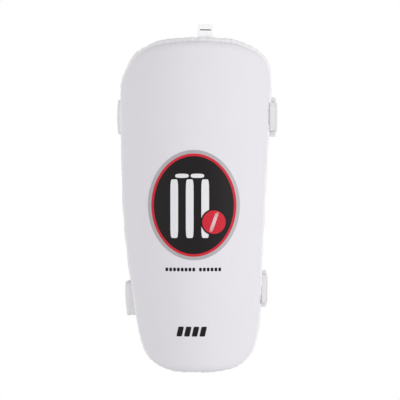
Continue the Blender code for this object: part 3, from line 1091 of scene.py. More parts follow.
@dataclass
class BackPad:
    """The soft foam and the towelling over it: one stuffed pad with two sewn channels."""

    form: GuardForm
    voxel: float = 0.0045
    start: float = 0.0016  # how much thinner the pad is before it swells
    welt: float = 0.0016  # how much thicker it stays where it meets the rim roll
    rounding: float = 0.22  # how much of its thickness the back edge rounds off
    held_depth: float = 0.55  # what is pinned: so much of the thickness, and all past a share of the width
    held_side: float = 0.83
    cap: float = 0.0030  # the furthest that a point may swell
    pressure: float = 4.0
    frames: int = 20
    channel: float = 0.48  # where the channels run, as a share of the half width
    groove: float = 0.0044
    groove_width: float = 0.0034
    stitch: float = 0.0030
    thread: float = 0.00030

    def back_y(self, flat: np.ndarray) -> np.ndarray:
        """Depth of the pad's back: the lining's depth, and deeper to the sides by the square of the share."""
        form = self.form
        share = flat[..., 0] / form.half_width(flat[..., 1])
        return form.face_y(flat) + form.lining_back + form.side_fill * share**2

    def depth_share(self, points: np.ndarray) -> np.ndarray:
        """How far through the pad points lie: 0 at its front, 1 at its back."""
        flat = points[:, [0, 2]]
        front = self.form.face_y(flat) + self.form.comfort_front
        return (points[:, 1] - front) / (self.back_y(flat) - front)

    def make_blank(self) -> bpy.types.Object:
        """The pad before it swells: a closed shape, its rounded back edge under the rim roll's inner side."""
        form = self.form
        shares = np.linspace(0.0, 1.0, 22)
        flat = form.growth(form.stations(200), form.rim.deeper(1.25 * form.rim_radius), shares)
        front = form.solid(flat, form.face_y(flat) + form.comfort_front + form.clear)
        rounding = (1 - np.sqrt(1 - np.clip((shares - 0.90) / 0.10, 0.0, 1.0) ** 2 * 0.98))[::-1]
        thinner = self.start * (1 - smooth_step((shares - 0.72) / 0.2))[::-1]
        back_y = self.back_y(flat)[::-1] - thinner[:, None]
        rounded = (back_y - front[::-1][..., 1]) * self.rounding * rounding[:, None]
        depth = back_y + self.welt * (1 - thinner / self.start)[:, None] - rounded
        points = np.concatenate([front, form.solid(flat[::-1], depth)])
        return piece_from("back_pad", [Patch(points, form.cloth(points))], 60.0)

    def swell(self, pad: bpy.types.Object) -> None:
        """Cloth under pressure: the pad is remeshed, its front and edge are pinned, and its back swells.

        A point's travel d is kept below the cap by cap * tanh(d / cap).

        Args:
            pad: the blank, which is changed.
        """
        remesh = pad.modifiers.new("remesh", "REMESH")
        remesh.mode = "VOXEL"
        remesh.voxel_size = self.voxel
        smooth = pad.modifiers.new("smooth", "SMOOTH")
        smooth.factor = 0.5
        smooth.iterations = 4
        apply_modifiers(pad)
        points = points_of(pad.data)
        side = np.abs(points[:, 0]) / self.form.half_width(points[:, 2])
        held = (self.depth_share(points) < self.held_depth) | (side > self.held_side)
        pins = pad.vertex_groups.new(name="held")
        pins.add(np.nonzero(held)[0].tolist(), 1.0, "REPLACE")
        cloth = pad.modifiers.new("swell", "CLOTH").settings
        cloth.vertex_group_mass = "held"
        cloth.use_pressure = True
        cloth.uniform_pressure_force = self.pressure
        cloth.effector_weights.gravity = 0.0
        cloth.quality = 6
        cloth.tension_stiffness = 8.0
        cloth.compression_stiffness = 8.0
        cloth.bending_stiffness = 0.4
        for step in range(1, self.frames + 1):
            bpy.context.scene.frame_set(step)
        apply_modifiers(pad)
        bpy.context.scene.frame_set(1)
        travel = points_of(pad.data) - points
        far = np.linalg.norm(travel, axis=1, keepdims=True)
        travel *= self.cap * np.tanh(far / self.cap) / np.maximum(far, 1e-9)
        set_points(pad.data, points + travel)

    def sew_channels(self, pad: bpy.types.Object) -> None:
        """Pulls the back in along the two channels, by a bell curve of their distance, and sways the pad."""
        form = self.form
        points = points_of(pad.data)
        x, z = points[:, 0], points[:, 2]
        away = np.abs(x) - self.channel * form.half_width(z)
        at_back = smooth_step((self.depth_share(points) - 0.4) / 0.4)
        inside = smooth_step((form.half - 0.020 - np.abs(z)) / 0.012)
        points[:, 1] -= self.groove * bell(away / self.groove_width) * at_back * inside
        set_points(pad.data, form.swayed(points))

    def sew_stitches(self, pad: bpy.types.Object) -> None:
        """Stitches along both channels, laid on the pad's back where a ray along -Y meets it."""
        form = self.form
        tree = BVHTree.FromObject(pad, bpy.context.evaluated_depsgraph_get())
        z = np.arange(-form.half + 0.024, form.half - 0.023, self.stitch)
        x = self.channel * form.half_width(z)
        centres, ups = [], []
        for side in (1, -1):
            for place_x, place_z in zip(side * x + form.sway(z), z):
                place, normal, _, _ = tree.ray_cast(Vector((place_x, 0.1, place_z)), Vector((0.0, -1.0, 0.0)))
                if place is not None:
                    centres.append(place)
                    ups.append(normal)
        up = np.array(ups)
        along = unit(np.cross(np.cross(up, UP), up))
        bars = thread_bars(np.array(centres), along, up, self.stitch * 0.76, self.thread)
        sew("channel_stitches", [bars], "guard")

    def build(self) -> None:
        """Makes the pad and the stitches in its channels."""
        pad = self.make_blank()
        self.swell(pad)
        self.sew_channels(pad)
        pad.data.shade_smooth()
        finer = pad.modifiers.new("finer", "SUBSURF")
        finer.levels = 1
        finer.render_levels = 1
        apply_modifiers(pad)
        finish = TowelFinish("lining_towelling")
        dress(pad, finish.make(), "guard", ["comfort_foam", "towel_lining"])
        self.sew_stitches(pad)


# ====================================================================== the emblem and the marks


class Ink(Enum):
    """The printing films' colours."""

    SILVER = (0.44, 0.43, 0.45)
    RED = (0.62, 0.018, 0.035)
    BLACK = (0.008, 0.006, 0.007)
    WHITE = (0.80, 0.79, 0.82)


@dataclass(frozen=True)
class Mark:
    """A flat shape: a superellipse about a centre, leaning by a slant, whole or with a hole like itself."""

    x: float
    z: float
    half_x: float
    half_z: float
    power: float = 2.0
    slant: float = 0.0
    ring: float = 0.0  # width of the ring if it has a hole
    around: int = 96
    steps: int = 12

    def rings(self) -> np.ndarray:
        """Rings of flat points from the inside out.

        On each, x = a sgn(cos t) |cos t|^(2/n) and z = b sgn(sin t) |sin t|^(2/n), and x leans by slant
        times z.

        Returns:
            A row of flat points for each ring.
        """
        turn = np.linspace(0.0, TURN, self.around + 1)
        out, up = (np.sign(wave) * np.abs(wave) ** (2 / self.power) for wave in (np.cos(turn), np.sin(turn)))
        shares = np.linspace(0.0, 1.0, 3 if self.ring else self.steps)
        inner_x = self.half_x - self.ring if self.ring else 0.0
        inner_z = self.half_z - self.ring if self.ring else 0.0
        z = (inner_z + (self.half_z - inner_z) * shares)[:, None] * up
        x = (inner_x + (self.half_x - inner_x) * shares)[:, None] * out + self.slant * z
        return np.stack([self.x + x, self.z + z], axis=-1)


@dataclass
class Print:
    """Thin films pressed on the face, each a closed body that follows the skin."""

    form: GuardForm

    def film(
        self, name: str, marks: Sequence[Mark], lift: float, thick: float, finish: FilmFinish
    ) -> bpy.types.Object:
        """Makes one piece of several marks, which lie where they really show, the form's sway included.

        Args:
            name: the piece's name.
            marks: its marks.
            lift: from the skin to the film's underside.
            thick: the film's thickness.
            finish: its finish.

        Returns:
            The piece.
        """
        patches = []
        for mark in marks:
            rings = mark.rings()
            flat = np.concatenate([rings, rings[::-1]])
            lifts = np.repeat([lift + thick, lift], len(rings))
            if mark.ring:
                flat = np.concatenate([flat, flat[:1]])
                lifts = np.append(lifts, lifts[0])
            own = flat.copy()
            own[..., 0] -= self.form.sway(flat[..., 1])
            points = self.form.solid(flat, self.form.surface_y(own) - lifts[:, None])
            patches.append(Patch(points, flat / MM))
        return dress(piece_from(name, patches, 40.0), finish.make(), "guard")


@dataclass
class Emblem(Print):
    """An oval badge: silver border, red line, black field, and three stumps with bails and a ball."""

    x: float = -0.0013
    z: float = 0.0
    silver: float = 0.0030
    red: float = 0.0022
    lift: float = 0.00006
    thick: float = 0.00014
    layer: float = 0.00003  # between one film and the next
    stumps_x: float = -0.0035  # the middle stump, from the badge's middle
    stumps_z: float = -0.0030
    stump_gap: float = 0.0132
    stump_width: float = 0.0066
    stump_height: float = 0.0500
    bail_height: float = 0.0036
    bail_gap: float = 0.0012
    ball_x: float = 0.0075  # from the right stump's middle and foot
    ball_z: float = 0.0135
    ball_size: float = 0.0200
    ball_edge: float = 0.0013  # of the black line round the ball
    seam_slant: float = 0.35

    def build(self) -> None:
        """Makes the border, the line, the field and the device on it."""
        low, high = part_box("badge_film")
        wide, tall = (high.x - low.x) / 2, (high.z - low.z) / 2
        red_edge, inset = self.silver, self.silver + self.red
        border = Mark(self.x, self.z, wide, tall, ring=self.silver, around=160)
        line = Mark(self.x, self.z, wide - red_edge, tall - red_edge, ring=self.red, around=160)
        ground = Mark(self.x, self.z, wide - inset, tall - inset, around=160, steps=22)
        silver = FilmFinish("silver_film", Ink.SILVER.value, 0.42, 0.20)
        plate = self.film("emblem_border", [border], self.lift, self.thick, silver)
        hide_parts("badge_film")
        self.film("emblem_line", [line], self.lift, self.thick, FilmFinish("red_film", Ink.RED.value))
        self.film("emblem_field", [ground], self.lift, self.thick, FilmFinish("black_film", Ink.BLACK.value))
        self.make_stumps()
        self.make_ball()

    def lift_of(self, layer: int) -> float:
        """How far above the skin a layer of film lies, the field being layer 0."""
        return self.lift + layer * (self.thick + self.layer)

    def make_stumps(self) -> None:
        """Three stumps with two bails, in white."""
        x, z = self.x + self.stumps_x, self.z + self.stumps_z
        stump = (self.stump_width / 2, self.stump_height / 2)
        marks = [Mark(x + i * self.stump_gap, z, *stump, power=7.0) for i in (-1, 0, 1)]
        bail_z = z + self.stump_height / 2 + self.bail_height / 2 + self.bail_gap
        bail = (self.stump_gap / 2 - 0.0009, self.bail_height / 2)
        marks += [Mark(x + i * self.stump_gap / 2, bail_z, *bail, power=3.0) for i in (-1, 1)]
        white = FilmFinish("white_film", Ink.WHITE.value, 0.5)
        self.film("emblem_stumps", marks, self.lift_of(1), self.thick, white)

    def make_ball(self) -> None:
        """A red ball with a white seam, on a black ground that shows as a line round it."""
        x = self.x + self.stumps_x + self.stump_gap + self.ball_x
        z = self.z + self.stumps_z - self.stump_height / 2 + self.ball_z
        half = self.ball_size / 2
        grounds = [Mark(x, z, half + self.ball_edge, half + self.ball_edge)]
        black = FilmFinish("ball_ground", Ink.BLACK.value)
        self.film("emblem_ball_ground", grounds, self.lift_of(2), self.thick, black)
        red = FilmFinish("ball_film", Ink.RED.value)
        self.film("emblem_ball", [Mark(x, z, half, half)], self.lift_of(3), self.thick, red)
        seams = [Mark(x + i * 0.0011, z, 0.0003, half - 0.0016, slant=self.seam_slant) for i in (-1, 1)]
        seams.append(Mark(x, z, 0.0004, half - 0.0012, slant=self.seam_slant))
        white = FilmFinish("white_film", Ink.WHITE.value, 0.5)
        self.film("emblem_seam", seams, self.lift_of(4), self.thick / 2, white)


@dataclass
class FaceMarks(Print):
    """Two plain rows of black film: small dashes in two groups, and slanting blocks."""

    lift: float = 0.00004
    thick: float = 0.00010
    dash_row: tuple[float, float] = (-0.0018, -0.0550)
    dash_groups: tuple[int, int] = (8, 6)
    dash_pitch: float = 0.0033
    dash_half: tuple[float, float] = (0.00115, 0.00155)
    group_gap: float = 0.0024
    block_row: tuple[float, float] = (-0.0032, -0.1085)
    block_count: int = 4
    block_pitch: float = 0.0066
    block_half: tuple[float, float] = (0.00235, 0.00425)
    block_slant: float = 0.22

    def build(self) -> None:
        """Makes both rows."""
        total = sum(self.dash_groups)
        start = self.dash_row[0] - ((total - 1) * self.dash_pitch + self.group_gap) / 2
        dashes = []
        for i in range(total):
            x = start + i * self.dash_pitch + (self.group_gap if i >= self.dash_groups[0] else 0.0)
            dashes.append(Mark(x, self.dash_row[1], *self.dash_half, power=4.0, around=32, steps=3))
        blocks = []
        for i in range(self.block_count):
            x = self.block_row[0] + (i - (self.block_count - 1) / 2) * self.block_pitch
            place = (x, self.block_row[1], *self.block_half)
            blocks.append(Mark(*place, power=9.0, slant=self.block_slant, around=48, steps=4))
        black = FilmFinish("black_ink", Ink.BLACK.value, 0.5)
        for name, marks in (("dash_row", dashes), ("block_row", blocks)):
            self.film(name, marks, self.lift, self.thick, black)


# ====================================================================== the label


@dataclass
class SizeTag:
    """The satin label: a ribbon folded double at its top and sewn behind the rim."""

    wide: float = 0.0130
    ply: float = 0.00028
    part: float = 0.00027  # how far each ply bows out below the fold
    lean: float = 0.0010  # how far its top leans forward
    shift: float = 0.0007
    spare: float = 0.0008  # of the CAD label's depth that isn't its turn
    bar: tuple[float, float] = (0.0144, 0.0166)  # the printed bar's heights above the label's foot
    bar_half: float = 0.00468
    ink: float = 0.00006

    def build(self) -> None:
        """Makes the ribbon from the CAD label's box, turned as far as the box is deep."""
        low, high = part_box("size_tag")
        turn = math.asin(max(high.y - low.y - self.spare, 0.0) / self.wide)
        side = np.array([math.cos(turn), math.sin(turn), 0.0])
        front = np.array([math.sin(turn), -math.cos(turn), 0.0])
        line = self.profile(high.z - low.z)
        foot = np.array([(low.x + high.x) / 2 + self.shift, (low.y + high.y) / 2, low.z])
        path = foot + np.outer(line[:, 0], front) + np.outer(line[:, 1], UP)
        out = unit(np.cross(side[None], unit(np.gradient(path, axis=0))))
        tag = band("size_tag_ribbon", path, out, side, self.wide / 2, self.ply, 12)
        dress(tag, SatinFinish().make(), "guard", ["size_tag"])
        self.make_bar(path, out, side)

    def profile(self, tall: float) -> np.ndarray:
        """The ribbon from the side: up the front ply, over a half circle, and down the back ply.

        The plies bow apart by a squared sine of the height, and the whole leans by the square of the height.

        Args:
            tall: its height.

        Returns:
            Points, forward and up.
        """
        height = np.linspace(0.0, 1.0, 26)
        fold = np.linspace(0.0, math.pi, 9)
        gap = self.ply * 0.75
        apart = gap + self.part * np.sin(height * math.pi) ** 2
        front = np.stack([apart, height * (tall - gap)], axis=1)
        top = np.stack([gap * np.cos(fold), tall - gap + gap * np.sin(fold)], axis=1)[1:-1]
        line = np.concatenate([front, top, (front * [-1.0, 1.0])[::-1]])
        line[:, 0] += self.lean * (line[:, 1] / tall) ** 2
        return line

    def make_bar(self, path: np.ndarray, out: np.ndarray, side: np.ndarray) -> None:
        """A plain dark bar on the front ply, where a size would be printed.

        Args:
            path: the ribbon's middle line, its front ply first.
            out: its outward directions.
            side: the direction of its width.
        """
        rise = path[:27, 2] - path[0, 2]
        rows = np.nonzero((rise >= self.bar[0]) & (rise <= self.bar[1]))[0]
        normal = out[rows[0]] * -np.sign(out[rows[0], 1])
        line = evenly(path[rows[0] : rows[-1] + 1], 4) + normal * (self.ply / 2 + self.ink)
        outs = np.broadcast_to(normal, line.shape)
        bar = band("size_tag_bar", line, outs, side, self.bar_half, self.ink, 8)
        dress(bar, FilmFinish("tag_ink", (0.05, 0.05, 0.06), 0.5).make(), "guard")


# ====================================================================== the straps


@dataclass
class StrapLine:
    """A strap's middle line as the CAD has it: half an ellipse behind the guard, measured from its root."""

    root: np.ndarray
    end: np.ndarray
    landing: np.ndarray
    back_y: float  # of the elastic's inner face
    bulge: float  # how far the closed end stands out further than the CAD's
    curl: float  # how far the tip's end turns in towards the rim
    elastic: float = 0.0016
    stack: float = 0.0037  # from the strap's line to the landing tab's
    bulge_from: float = 0.040  # before the closed end, in length along the strap
    bulge_over: float = 0.028
    curl_from: float = 0.008
    curl_over: float = 0.0175

    def __post_init__(self) -> None:
        """Works out the ellipse, a table of turn against distance, the closed end and the seam."""
        right = self.landing[0] + self.stack
        self.middle_x = (self.root[0] + right) / 2
        self.reach_x = (right - self.root[0]) / 2
        self.fold_y = self.root[1]
        self.reach_y = self.back_y - self.elastic / 2 - self.fold_y
        self.turns = np.linspace(math.pi, -math.radians(30), 1441)
        places = self.ellipse(self.turns)
        self.table = lengths_along(places)
        self.length = float(np.interp(0.0, -self.turns, self.table))
        away = np.hypot(*(places - self.end[:2]).T)
        self.seam = float(self.table[int(away.argmin())])

    def ellipse(self, turn: np.ndarray) -> np.ndarray:
        """Points (x, y) at turns."""
        x = self.middle_x + self.reach_x * np.cos(turn)
        return np.stack([x, self.fold_y + self.reach_y * np.sin(turn)], axis=1)

    def at(self, distance: np.ndarray, out: np.ndarray | float = 0.0) -> tuple[np.ndarray, np.ndarray]:
        """Points along the strap, and the outward directions there.

        Near the closed end the line stands out by the bulge, eased in over 28 mm, and its last 17.5 mm turn
        in by the curl times the square of their share.

        Args:
            distance: along the strap, from its root.
            out: how far outside its line.

        Returns:
            The points, and a direction for each.
        """
        turn = np.interp(distance, self.table, self.turns)
        share = np.clip(distance / self.length, 0.0, 1.0)[:, None]
        z = self.root[2] + (self.landing[2] - self.root[2]) * share
        outward = unit(np.stack([np.cos(turn) * self.reach_y, np.sin(turn) * self.reach_x, 0 * turn], axis=1))
        past = distance - self.length
        swell = self.bulge * smooth_step((past + self.bulge_from) / self.bulge_over)
        swell = swell - self.curl * (np.maximum(past + self.curl_from, 0.0) / self.curl_over) ** 2
        return np.hstack([self.ellipse(turn), z]) + outward * (out + swell)[:, None], outward


@dataclass
class Strap:
    """One strap: elastic, a webbing end with hook tape and a folded tip, and a landing tab with loop tape."""

    form: GuardForm
    name: str
    root_bulge: float  # how far the elastic stands out where it leaves the rim
    close_bulge: float
    landing_bulge: float  # how far the landing tab stands out where it leaves the rim
    curl: float
    root_tilt: float = 0.0  # how much less the elastic's lower edge stands out at the root
    root_narrow: float = 0.0008  # how much the elastic's half width draws in where it bends
    landing_half: float = 0.0175
    landing_narrow: float = 0.0012  # how much the landing tab's half width draws in past its bend
    elastic_half: float = 0.0160
    elastic_thick: float = 0.0016
    end_half: float = 0.0125
    end_thick: float = 0.0010
    landing_thick: float = 0.0009
    loop_half: float = 0.0150
    tape_thick: float = 0.0010
    tape_inset: float = 0.0040
    tape_stop: float = 0.0085  # from the closed end to the tapes' ends
    tape_gap: float = 0.00025
    overlap: float = 0.0100  # of the webbing on the elastic
    step_over: float = 0.0045  # the stretch in which the webbing steps down past the elastic's end
    free_from: float = 0.016  # from the root to where the elastic follows the CAD's line
    tip_length: float = 0.0095
    tip_thick: float = 0.0022
    cup: float = 0.0002  # how far a webbing's edges stand inside its middle
    thread: float = 0.00024
    stitch: float = 0.0021
    stitch_pitch: float = 0.0026
    webbing: Three = (0.78, 0.765, 0.79)
    line: StrapLine = field(init=False)

    def __post_init__(self) -> None:
        """Reads the fold lines from the frame's joints."""
        at = {joint["name"]: np.array(joint["pos_m"]) for joint in frame["joints"]}
        folds = (at[self.part(joint)] for joint in ("strap_swing", "end_peel", "landing_flex"))
        back_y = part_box(self.part("elastic"))[1].y
        self.line = StrapLine(*folds, back_y, self.close_bulge, self.curl)

    def part(self, name: str) -> str:
        """The name of something on this strap."""
        return f"{self.name}_{name}"

    def bodies(self, *names: str) -> tuple[str, ...]:
        """Names of this strap's bodies, and of the guard's."""
        return tuple(name if name == "guard" else self.part(name) for name in names)

    def weave(self, name: str, colour: Three, edge: float) -> bpy.types.Material:
        """Fine webbing; edge is half its width in millimetres."""
        return WovenFinish(self.part(f"{name}_weave"), colour, edge).make()

    def root_path(
        self, side: int, fold: np.ndarray, bulge: float, thick: float, last: tuple[float, float]
    ) -> np.ndarray:
        """Points of a root: from the lining, behind the rim roll, out past it and round to the strap's line.

        Args:
            side: -1 for the left, 1 for the right.
            fold: where the strap's line meets its fold line.
            bulge: how far the root stands out beyond that.
            thick: the cloth's thickness.
            last: the last point's share of the bulge, and its distance behind the fold line.

        Returns:
            Six points, all at the fold's height.
        """
        form = self.form
        wide = float(form.half_width(fold[2]))
        edge = float(form.face_y(np.array([wide, fold[2]])))
        back = edge + form.rim_depth[0] + form.rim_radius + thick / 2 + 0.0005
        reach = abs(fold[0])
        fold_y = self.line.fold_y
        places = [
            (wide - 0.0185, back - 0.0034),
            (wide - 0.0120, back - 0.0022),
            (wide - 0.0050, back),
            (wide - 0.0008, back + 0.0004),
            (reach + bulge * 0.86 - 0.0006, fold_y + 0.0024),
            (reach + bulge * last[0], fold_y + last[1]),
        ]
        return np.array([(side * x, y, fold[2]) for x, y in places])

    def bend(self, piece: bpy.types.Object, child: str, fold: np.ndarray, stop: float) -> None:
        """Bakes a piece's transform into its mesh; it works out the stretch from just before a fold line to a
        stop behind it, but makes no bend.
        """
        places = [(fold[0], self.line.fold_y + along, fold[2]) for along in (-0.0005, stop)]
        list(self.bodies("guard", child))
        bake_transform(piece)

    def make_elastic(self) -> None:
        """The elastic: sewn behind the rim's left side, it runs round to the webbing's seam."""
        line = self.line
        root = self.root_path(-1, line.root, self.root_bulge, self.elastic_thick, (1.0, 0.0072))
        rest, outward = line.at(np.linspace(self.free_from, line.seam - 0.0007, 30))
        slack = self.root_bulge * (1 - smooth_step(np.linspace(self.free_from, line.seam, 30) / 0.045))
        path = curve_through(np.concatenate([root, rest + outward * slack[:, None]]), 150)
        out = turned_right(path)
        bent = bell((lengths_along(path) - 0.022) / 0.010)
        half = self.elastic_half - self.root_narrow * bent
        cup, tilt = 0.0003 + 0.0008 * bent, self.root_tilt * bent
        path = self.form.swayed(path)
        made = band(self.part("elastic_band"), path, out, UP, half, self.elastic_thick, 18, cup, tilt)
        colour = (0.84, 0.83, 0.85)
        finish = WovenFinish(self.part("elastic_weave"), colour, self.elastic_half / MM, 1.25, 1.5, 0.00022)
        dress(made, finish.make(), None, [self.part("elastic"), self.part("strap_anchor")])
        self.bend(made, "strap", line.root, 0.0120)
        self.sew_root("root", path, out, self.elastic_half)

    def sew_root(self, name: str, path: np.ndarray, out: np.ndarray, half: float) -> None:
        """A box of stitches that holds a band's root, so wide, to the lining."""
        bars = self.box(path, out, (0.0025, 0.0110), half - 0.0030, self.elastic_thick / 2)
        sew(self.part(f"{name}_stitches"), [bars], "guard")

    def box(
        self, path: np.ndarray, out: np.ndarray, ends: tuple[float, float], half: float, lift: float
    ) -> Stitches:
        """Stitches round a box and across it, laid on a band's outer side.

        Args:
            path: the band's middle line.
            out: its outward directions.
            ends: distances of the box's two ends from the path's first point.
            half: half its width.
            lift: from the middle line to the band's face.

        Returns:
            The stitches.
        """
        corners = [(ends[0], -half), (ends[1], -half), (ends[1], half), (ends[0], half)]
        runs = [*zip(corners, corners[1:] + corners[:1]), *zip(corners[:2], corners[2:])]
        along = lengths_along(path)
        centres, ways, ups = [], [], []
        for near, far in runs:
            gap = math.dist(near, far)
            count = max(3, round(gap / self.stitch_pitch))
            share = (np.arange(count) + 0.5) / count
            distance, across = (near[i] + (far[i] - near[i]) * share for i in (0, 1))
            up = unit(read_at(distance, along, out))
            step = unit(np.cross(up, UP[None]))
            step *= np.sign(np.sum(step * (path[-1] - path[0])[None], axis=1))[:, None]
            centres.append(read_at(distance, along, path) + UP[None] * across[:, None] + up * lift)
            ways.append(unit(step * (far[0] - near[0]) / gap + UP[None] * (far[1] - near[1]) / gap))
            ups.append(up)
        joined = (np.concatenate(parts) for parts in (centres, ways, ups))
        return thread_bars(*joined, self.stitch, self.thread)

    def make_end(self) -> None:
        """The webbing end: from the elastic's outer face it steps down past its end and runs to the tip."""
        line = self.line
        distance = np.linspace(line.seam - self.overlap, line.length, 70)
        step = (self.elastic_thick + self.end_thick) / 2 + 0.0001
        lift = step * (1 - smooth_step((distance - line.seam + 0.0002) / self.step_over))
        path, out = line.at(distance, lift)
        path = self.form.swayed(path)
        made = band(self.part("end_webbing"), path, out, UP, self.end_half, self.end_thick, 14, self.cup)
        finish = self.weave("end", self.webbing, self.end_half / MM)
        dress(made, finish, None, [self.part("end_tab")])
        start, stop = line.at(np.array([line.seam - 0.003, line.seam + 0.006]))[0]
        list(self.bodies("strap", "end"))
        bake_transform(made)
        self.sew_end(path, out)

    def sew_end(self, path: np.ndarray, out: np.ndarray) -> None:
        """The seam's box of stitches, and two rows that hold the hook tape to the webbing.

        Args:
            path: the webbing's middle line.
            out: its outward directions.
        """
        lift = self.end_thick / 2 - 0.00002
        bars = self.box(path, out, (0.0012, self.overlap - 0.0022), self.end_half - 0.0022, lift)
        sew(self.part("seam_stitches"), [bars], self.part("strap"))
        along = lengths_along(path)
        distance = np.arange(self.overlap + self.tape_inset + 0.0045, along[-1] - self.tape_stop, 0.0028)
        up = unit(read_at(distance, along, out))
        middle = read_at(distance, along, path) + up * lift
        step = unit(np.cross(UP[None], up))
        sides = (UP[None] * side * (self.end_half - 0.0016) for side in (-1, 1))
        rows = [thread_bars(middle + side, step, up, self.stitch, self.thread) for side in sides]
        sew(self.part("tape_stitches"), rows, self.part("end"))

    def make_tape(
        self, kind: str, body: str, lift: float, half: float, thick: float, columns: int, finish: TapeFinish
    ) -> None:
        """A tape that follows the strap's line.

        Args:
            kind: hook or loop.
            body: what it rides on.
            lift: how far outside the strap's line it lies.
            half: half its width.
            thick: its thickness.
            columns: divisions across it.
            finish: its finish.
        """
        line = self.line
        distance = np.linspace(line.seam + self.tape_inset + 0.002, line.length - self.tape_stop, 50)
        path, out = line.at(distance, lift)
        path = self.form.swayed(path)
        tape = band(self.part(f"{kind}_pile"), path, out, UP, half, thick, columns, self.cup)
        dress(tape, finish.make(), self.part(body), [self.part(f"{kind}_tape")])

    def make_tapes(self) -> None:
        """The hook tape inside the webbing end, and the loop tape outside the landing tab."""
        gap = self.tape_gap / 5
        thick = self.tape_thick - 2 * gap
        half = self.end_half - 0.0003
        lift = -(self.end_thick + self.tape_thick) / 2 - gap
        finish = TapeFinish(self.part("hooks"), (0.74, 0.73, 0.76), 2.0, 0.45, 0.00030, half / MM)
        self.make_tape("hook", "end", lift, half, thick, 14, finish)
        lift = (self.landing_thick + self.tape_thick) / 2 + gap - self.line.stack
        finish = TapeFinish(self.part("loops"), (0.80, 0.785, 0.80), 1.5, 0.80, 0.00028, self.loop_half / MM)
        self.make_tape("loop", "landing", lift, self.loop_half, thick, 16, finish)

    def make_tip(self) -> None:
        """The folded tip: the webbing turned back on itself, closed by a bar of stitches."""
        line = self.line
        start, stop = self.tape_gap + 0.0011, self.tip_length - 0.0008
        path = self.form.swayed(line.at(np.linspace(line.length + start, line.length + stop, 16))[0])
        out = turned_right(path)
        tip = band(self.part("pull_fold"), path, out, UP, self.end_half, self.tip_thick, 14, self.cup)
        finish = self.weave("tip", self.webbing, self.end_half / MM)
        dress(tip, finish, self.part("end"), [self.part("pull_tip")])
        across = np.arange(-self.end_half + 0.0020, self.end_half - 0.0018, 0.0008)
        centres = path[2] + out[2] * (self.tip_thick / 2) + UP[None] * across[:, None]
        up = np.broadcast_to(out[2], centres.shape)
        bars = thread_bars(centres, np.cross(UP[None], up), up, 0.0018, self.thread)
        sew(self.part("bar_tack"), [bars], self.part("end"))

    def make_landing(self) -> None:
        """The landing tab: sewn behind the rim's right side, it turns back beneath the loop tape."""
        line = self.line
        root = self.root_path(1, line.landing, self.landing_bulge, self.landing_thick, (0.86, 0.0058))
        rest, _ = line.at(np.linspace(line.length - 0.017, line.seam + 0.0007, 24), -line.stack)
        path = curve_through(np.concatenate([root, rest]), 110)
        along = lengths_along(path)
        out = -turned_right(path)
        half = self.landing_half - self.landing_narrow * smooth_step((along - 0.026) / 0.008)
        cup = self.cup + 0.0010 * bell((along - 0.024) / 0.008)
        path = self.form.swayed(path)
        made = band(self.part("landing_webbing"), path, out, UP, half, self.landing_thick, 18, cup)
        nodes = [self.part("landing_tab"), self.part("landing_anchor")]
        dress(made, self.weave("landing", (0.82, 0.795, 0.81), 17.0), None, nodes)
        self.bend(made, "landing", line.landing, 0.0090)
        self.sew_root("landing", path, out, self.landing_half)

    def build(self) -> None:
        """Makes the whole strap."""
        self.make_elastic()
        self.make_end()
        self.make_tapes()
        self.make_tip()
        self.make_landing()


# ====================================================================== the studio


@dataclass(frozen=True)
class Lamp:
    """A soft square light that faces the guard."""

    name: str
    place: Three
    size: float
    power: float

    def build(self) -> None:
        """Hangs the light."""
        data = bpy.data.lights.new(self.name, "AREA")
        data.shape = "SQUARE"
        data.size = self.size
        data.energy = self.power
        lamp = linked(self.name, data)
        lamp.location = self.place
        lamp.rotation_euler = (-Vector(self.place)).to_track_quat("-Z", "Y").to_euler()


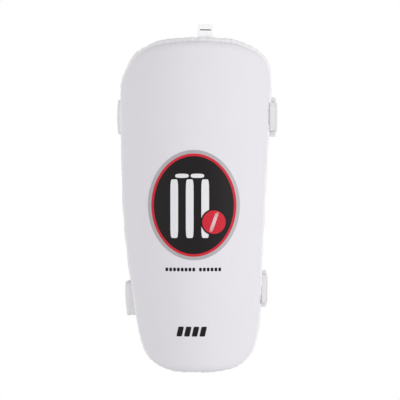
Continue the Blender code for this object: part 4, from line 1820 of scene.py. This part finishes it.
@dataclass
class Studio:
    """A white surround, soft lights, a pale floor well below the guard, and the camera."""

    eye: Three = (0.00396, -1.515, 0.0044)
    lens: float = 153.4
    floor_z: float = -0.32
    floor_size: float = 1.4
    fade: tuple[float, float] = (1250.0, 350.0)  # from where the floor is clear to where it is solid, in mm
    level: float = 0.95  # how bright the surround lights things from the sides; the camera sees it pure white
    poles: float = 0.42  # how bright it is straight above and below
    lamps: tuple[Lamp, ...] = (
        Lamp("key_right", (1.70, -1.10, 0.20), 1.1, 12.4),
        Lamp("fill_left", (-1.60, -1.30, -0.15), 1.2, 4.8),
        Lamp("top_soft", (0.10, -0.50, 1.70), 1.0, 0.8),
        Lamp("back_soft", (-0.60, 1.70, 0.60), 1.2, 6.0),
    )

    def build(self) -> None:
        """Sets the studio up."""
        scene = bpy.context.scene
        scene.view_settings.view_transform = "Standard"
        camera = linked("camera", bpy.data.cameras.new("camera"))
        camera.data.lens = self.lens
        camera.data.sensor_width = 36.0
        camera.location = self.eye
        camera.rotation_euler = (QUARTER, 0.0, 0.0)
        scene.camera = camera
        scene.world = self.make_surround()
        for lamp in self.lamps:
            lamp.build()
        self.make_floor()

    def make_surround(self) -> bpy.types.World:
        """White to the camera; to everything else a soft light that falls off straight above and below."""
        world = bpy.data.worlds.new("surround")
        world.use_nodes = True
        nodes = Nodes(world.node_tree)
        nodes.tree.nodes.remove(nodes.tree.nodes["Background"])
        height = nodes.part(nodes.add("ShaderNodeTexCoord", {}, {}, "Generated"), "Z")
        sockets = {"Value": nodes.math("ABSOLUTE", height), "To Min": self.level, "To Max": self.poles}
        strength = nodes.add("ShaderNodeMapRange", {}, sockets)
        lit = nodes.add("ShaderNodeBackground", {}, {"Color": WHITE, "Strength": strength})
        seen = nodes.add("ShaderNodeBackground", {}, {"Color": WHITE})
        to_camera = nodes.add("ShaderNodeLightPath", {}, {}, "Is Camera Ray")
        both = nodes.add("ShaderNodeMixShader", {}, {0: to_camera, 1: lit, 2: seen})
        nodes.join(nodes.tree.nodes["World Output"].inputs["Surface"], both)
        return world

    def make_floor(self) -> None:
        """A pale disc that fades out towards its edge."""
        mesh = bpy.data.meshes.new("floor")
        shape = bmesh.new()
        bmesh.ops.create_circle(shape, cap_ends=True, radius=self.floor_size, segments=96)
        bmesh.ops.translate(shape, vec=(0.0, 0.0, self.floor_z), verts=shape.verts)
        shape.to_mesh(mesh)
        shape.free()
        recipe = Recipe("floor")
        x, y = recipe.place("X"), recipe.place("Y")
        away = (x * x + y * y) ** 0.5
        recipe.feed(Base_Color=(0.93, 0.93, 0.93, 1.0), Roughness=0.9, Alpha=away.within(*self.fade))
        mesh.materials.append(recipe.material)
        linked("floor", mesh)


def main() -> None:
    """Builds the studio and the guard, one sub-assembly after another."""
    logging.basicConfig(level=logging.INFO, format="%(message)s")
    low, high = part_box("rim_roll")
    form = GuardForm(half=(high.z - low.z) / 2)
    upper = Strap(form, "upper", root_bulge=0.0, close_bulge=0.0013, landing_bulge=0.0042, curl=0.0068)
    lower = Strap(
        form,
        "lower",
        root_bulge=0.0030,
        close_bulge=-0.0014,
        landing_bulge=0.0016,
        curl=0.0048,
        root_tilt=0.0012,
        root_narrow=0.0015,
        landing_half=0.0163,
    )
    front, rim, pad = MouldedFront(form), PaddedRim(form), BackPad(form)
    for part in (Studio(), front, rim, pad, SizeTag(), Emblem(form), FaceMarks(form), upper, lower):
        part.build()


if __name__ == "__main__":
    main()
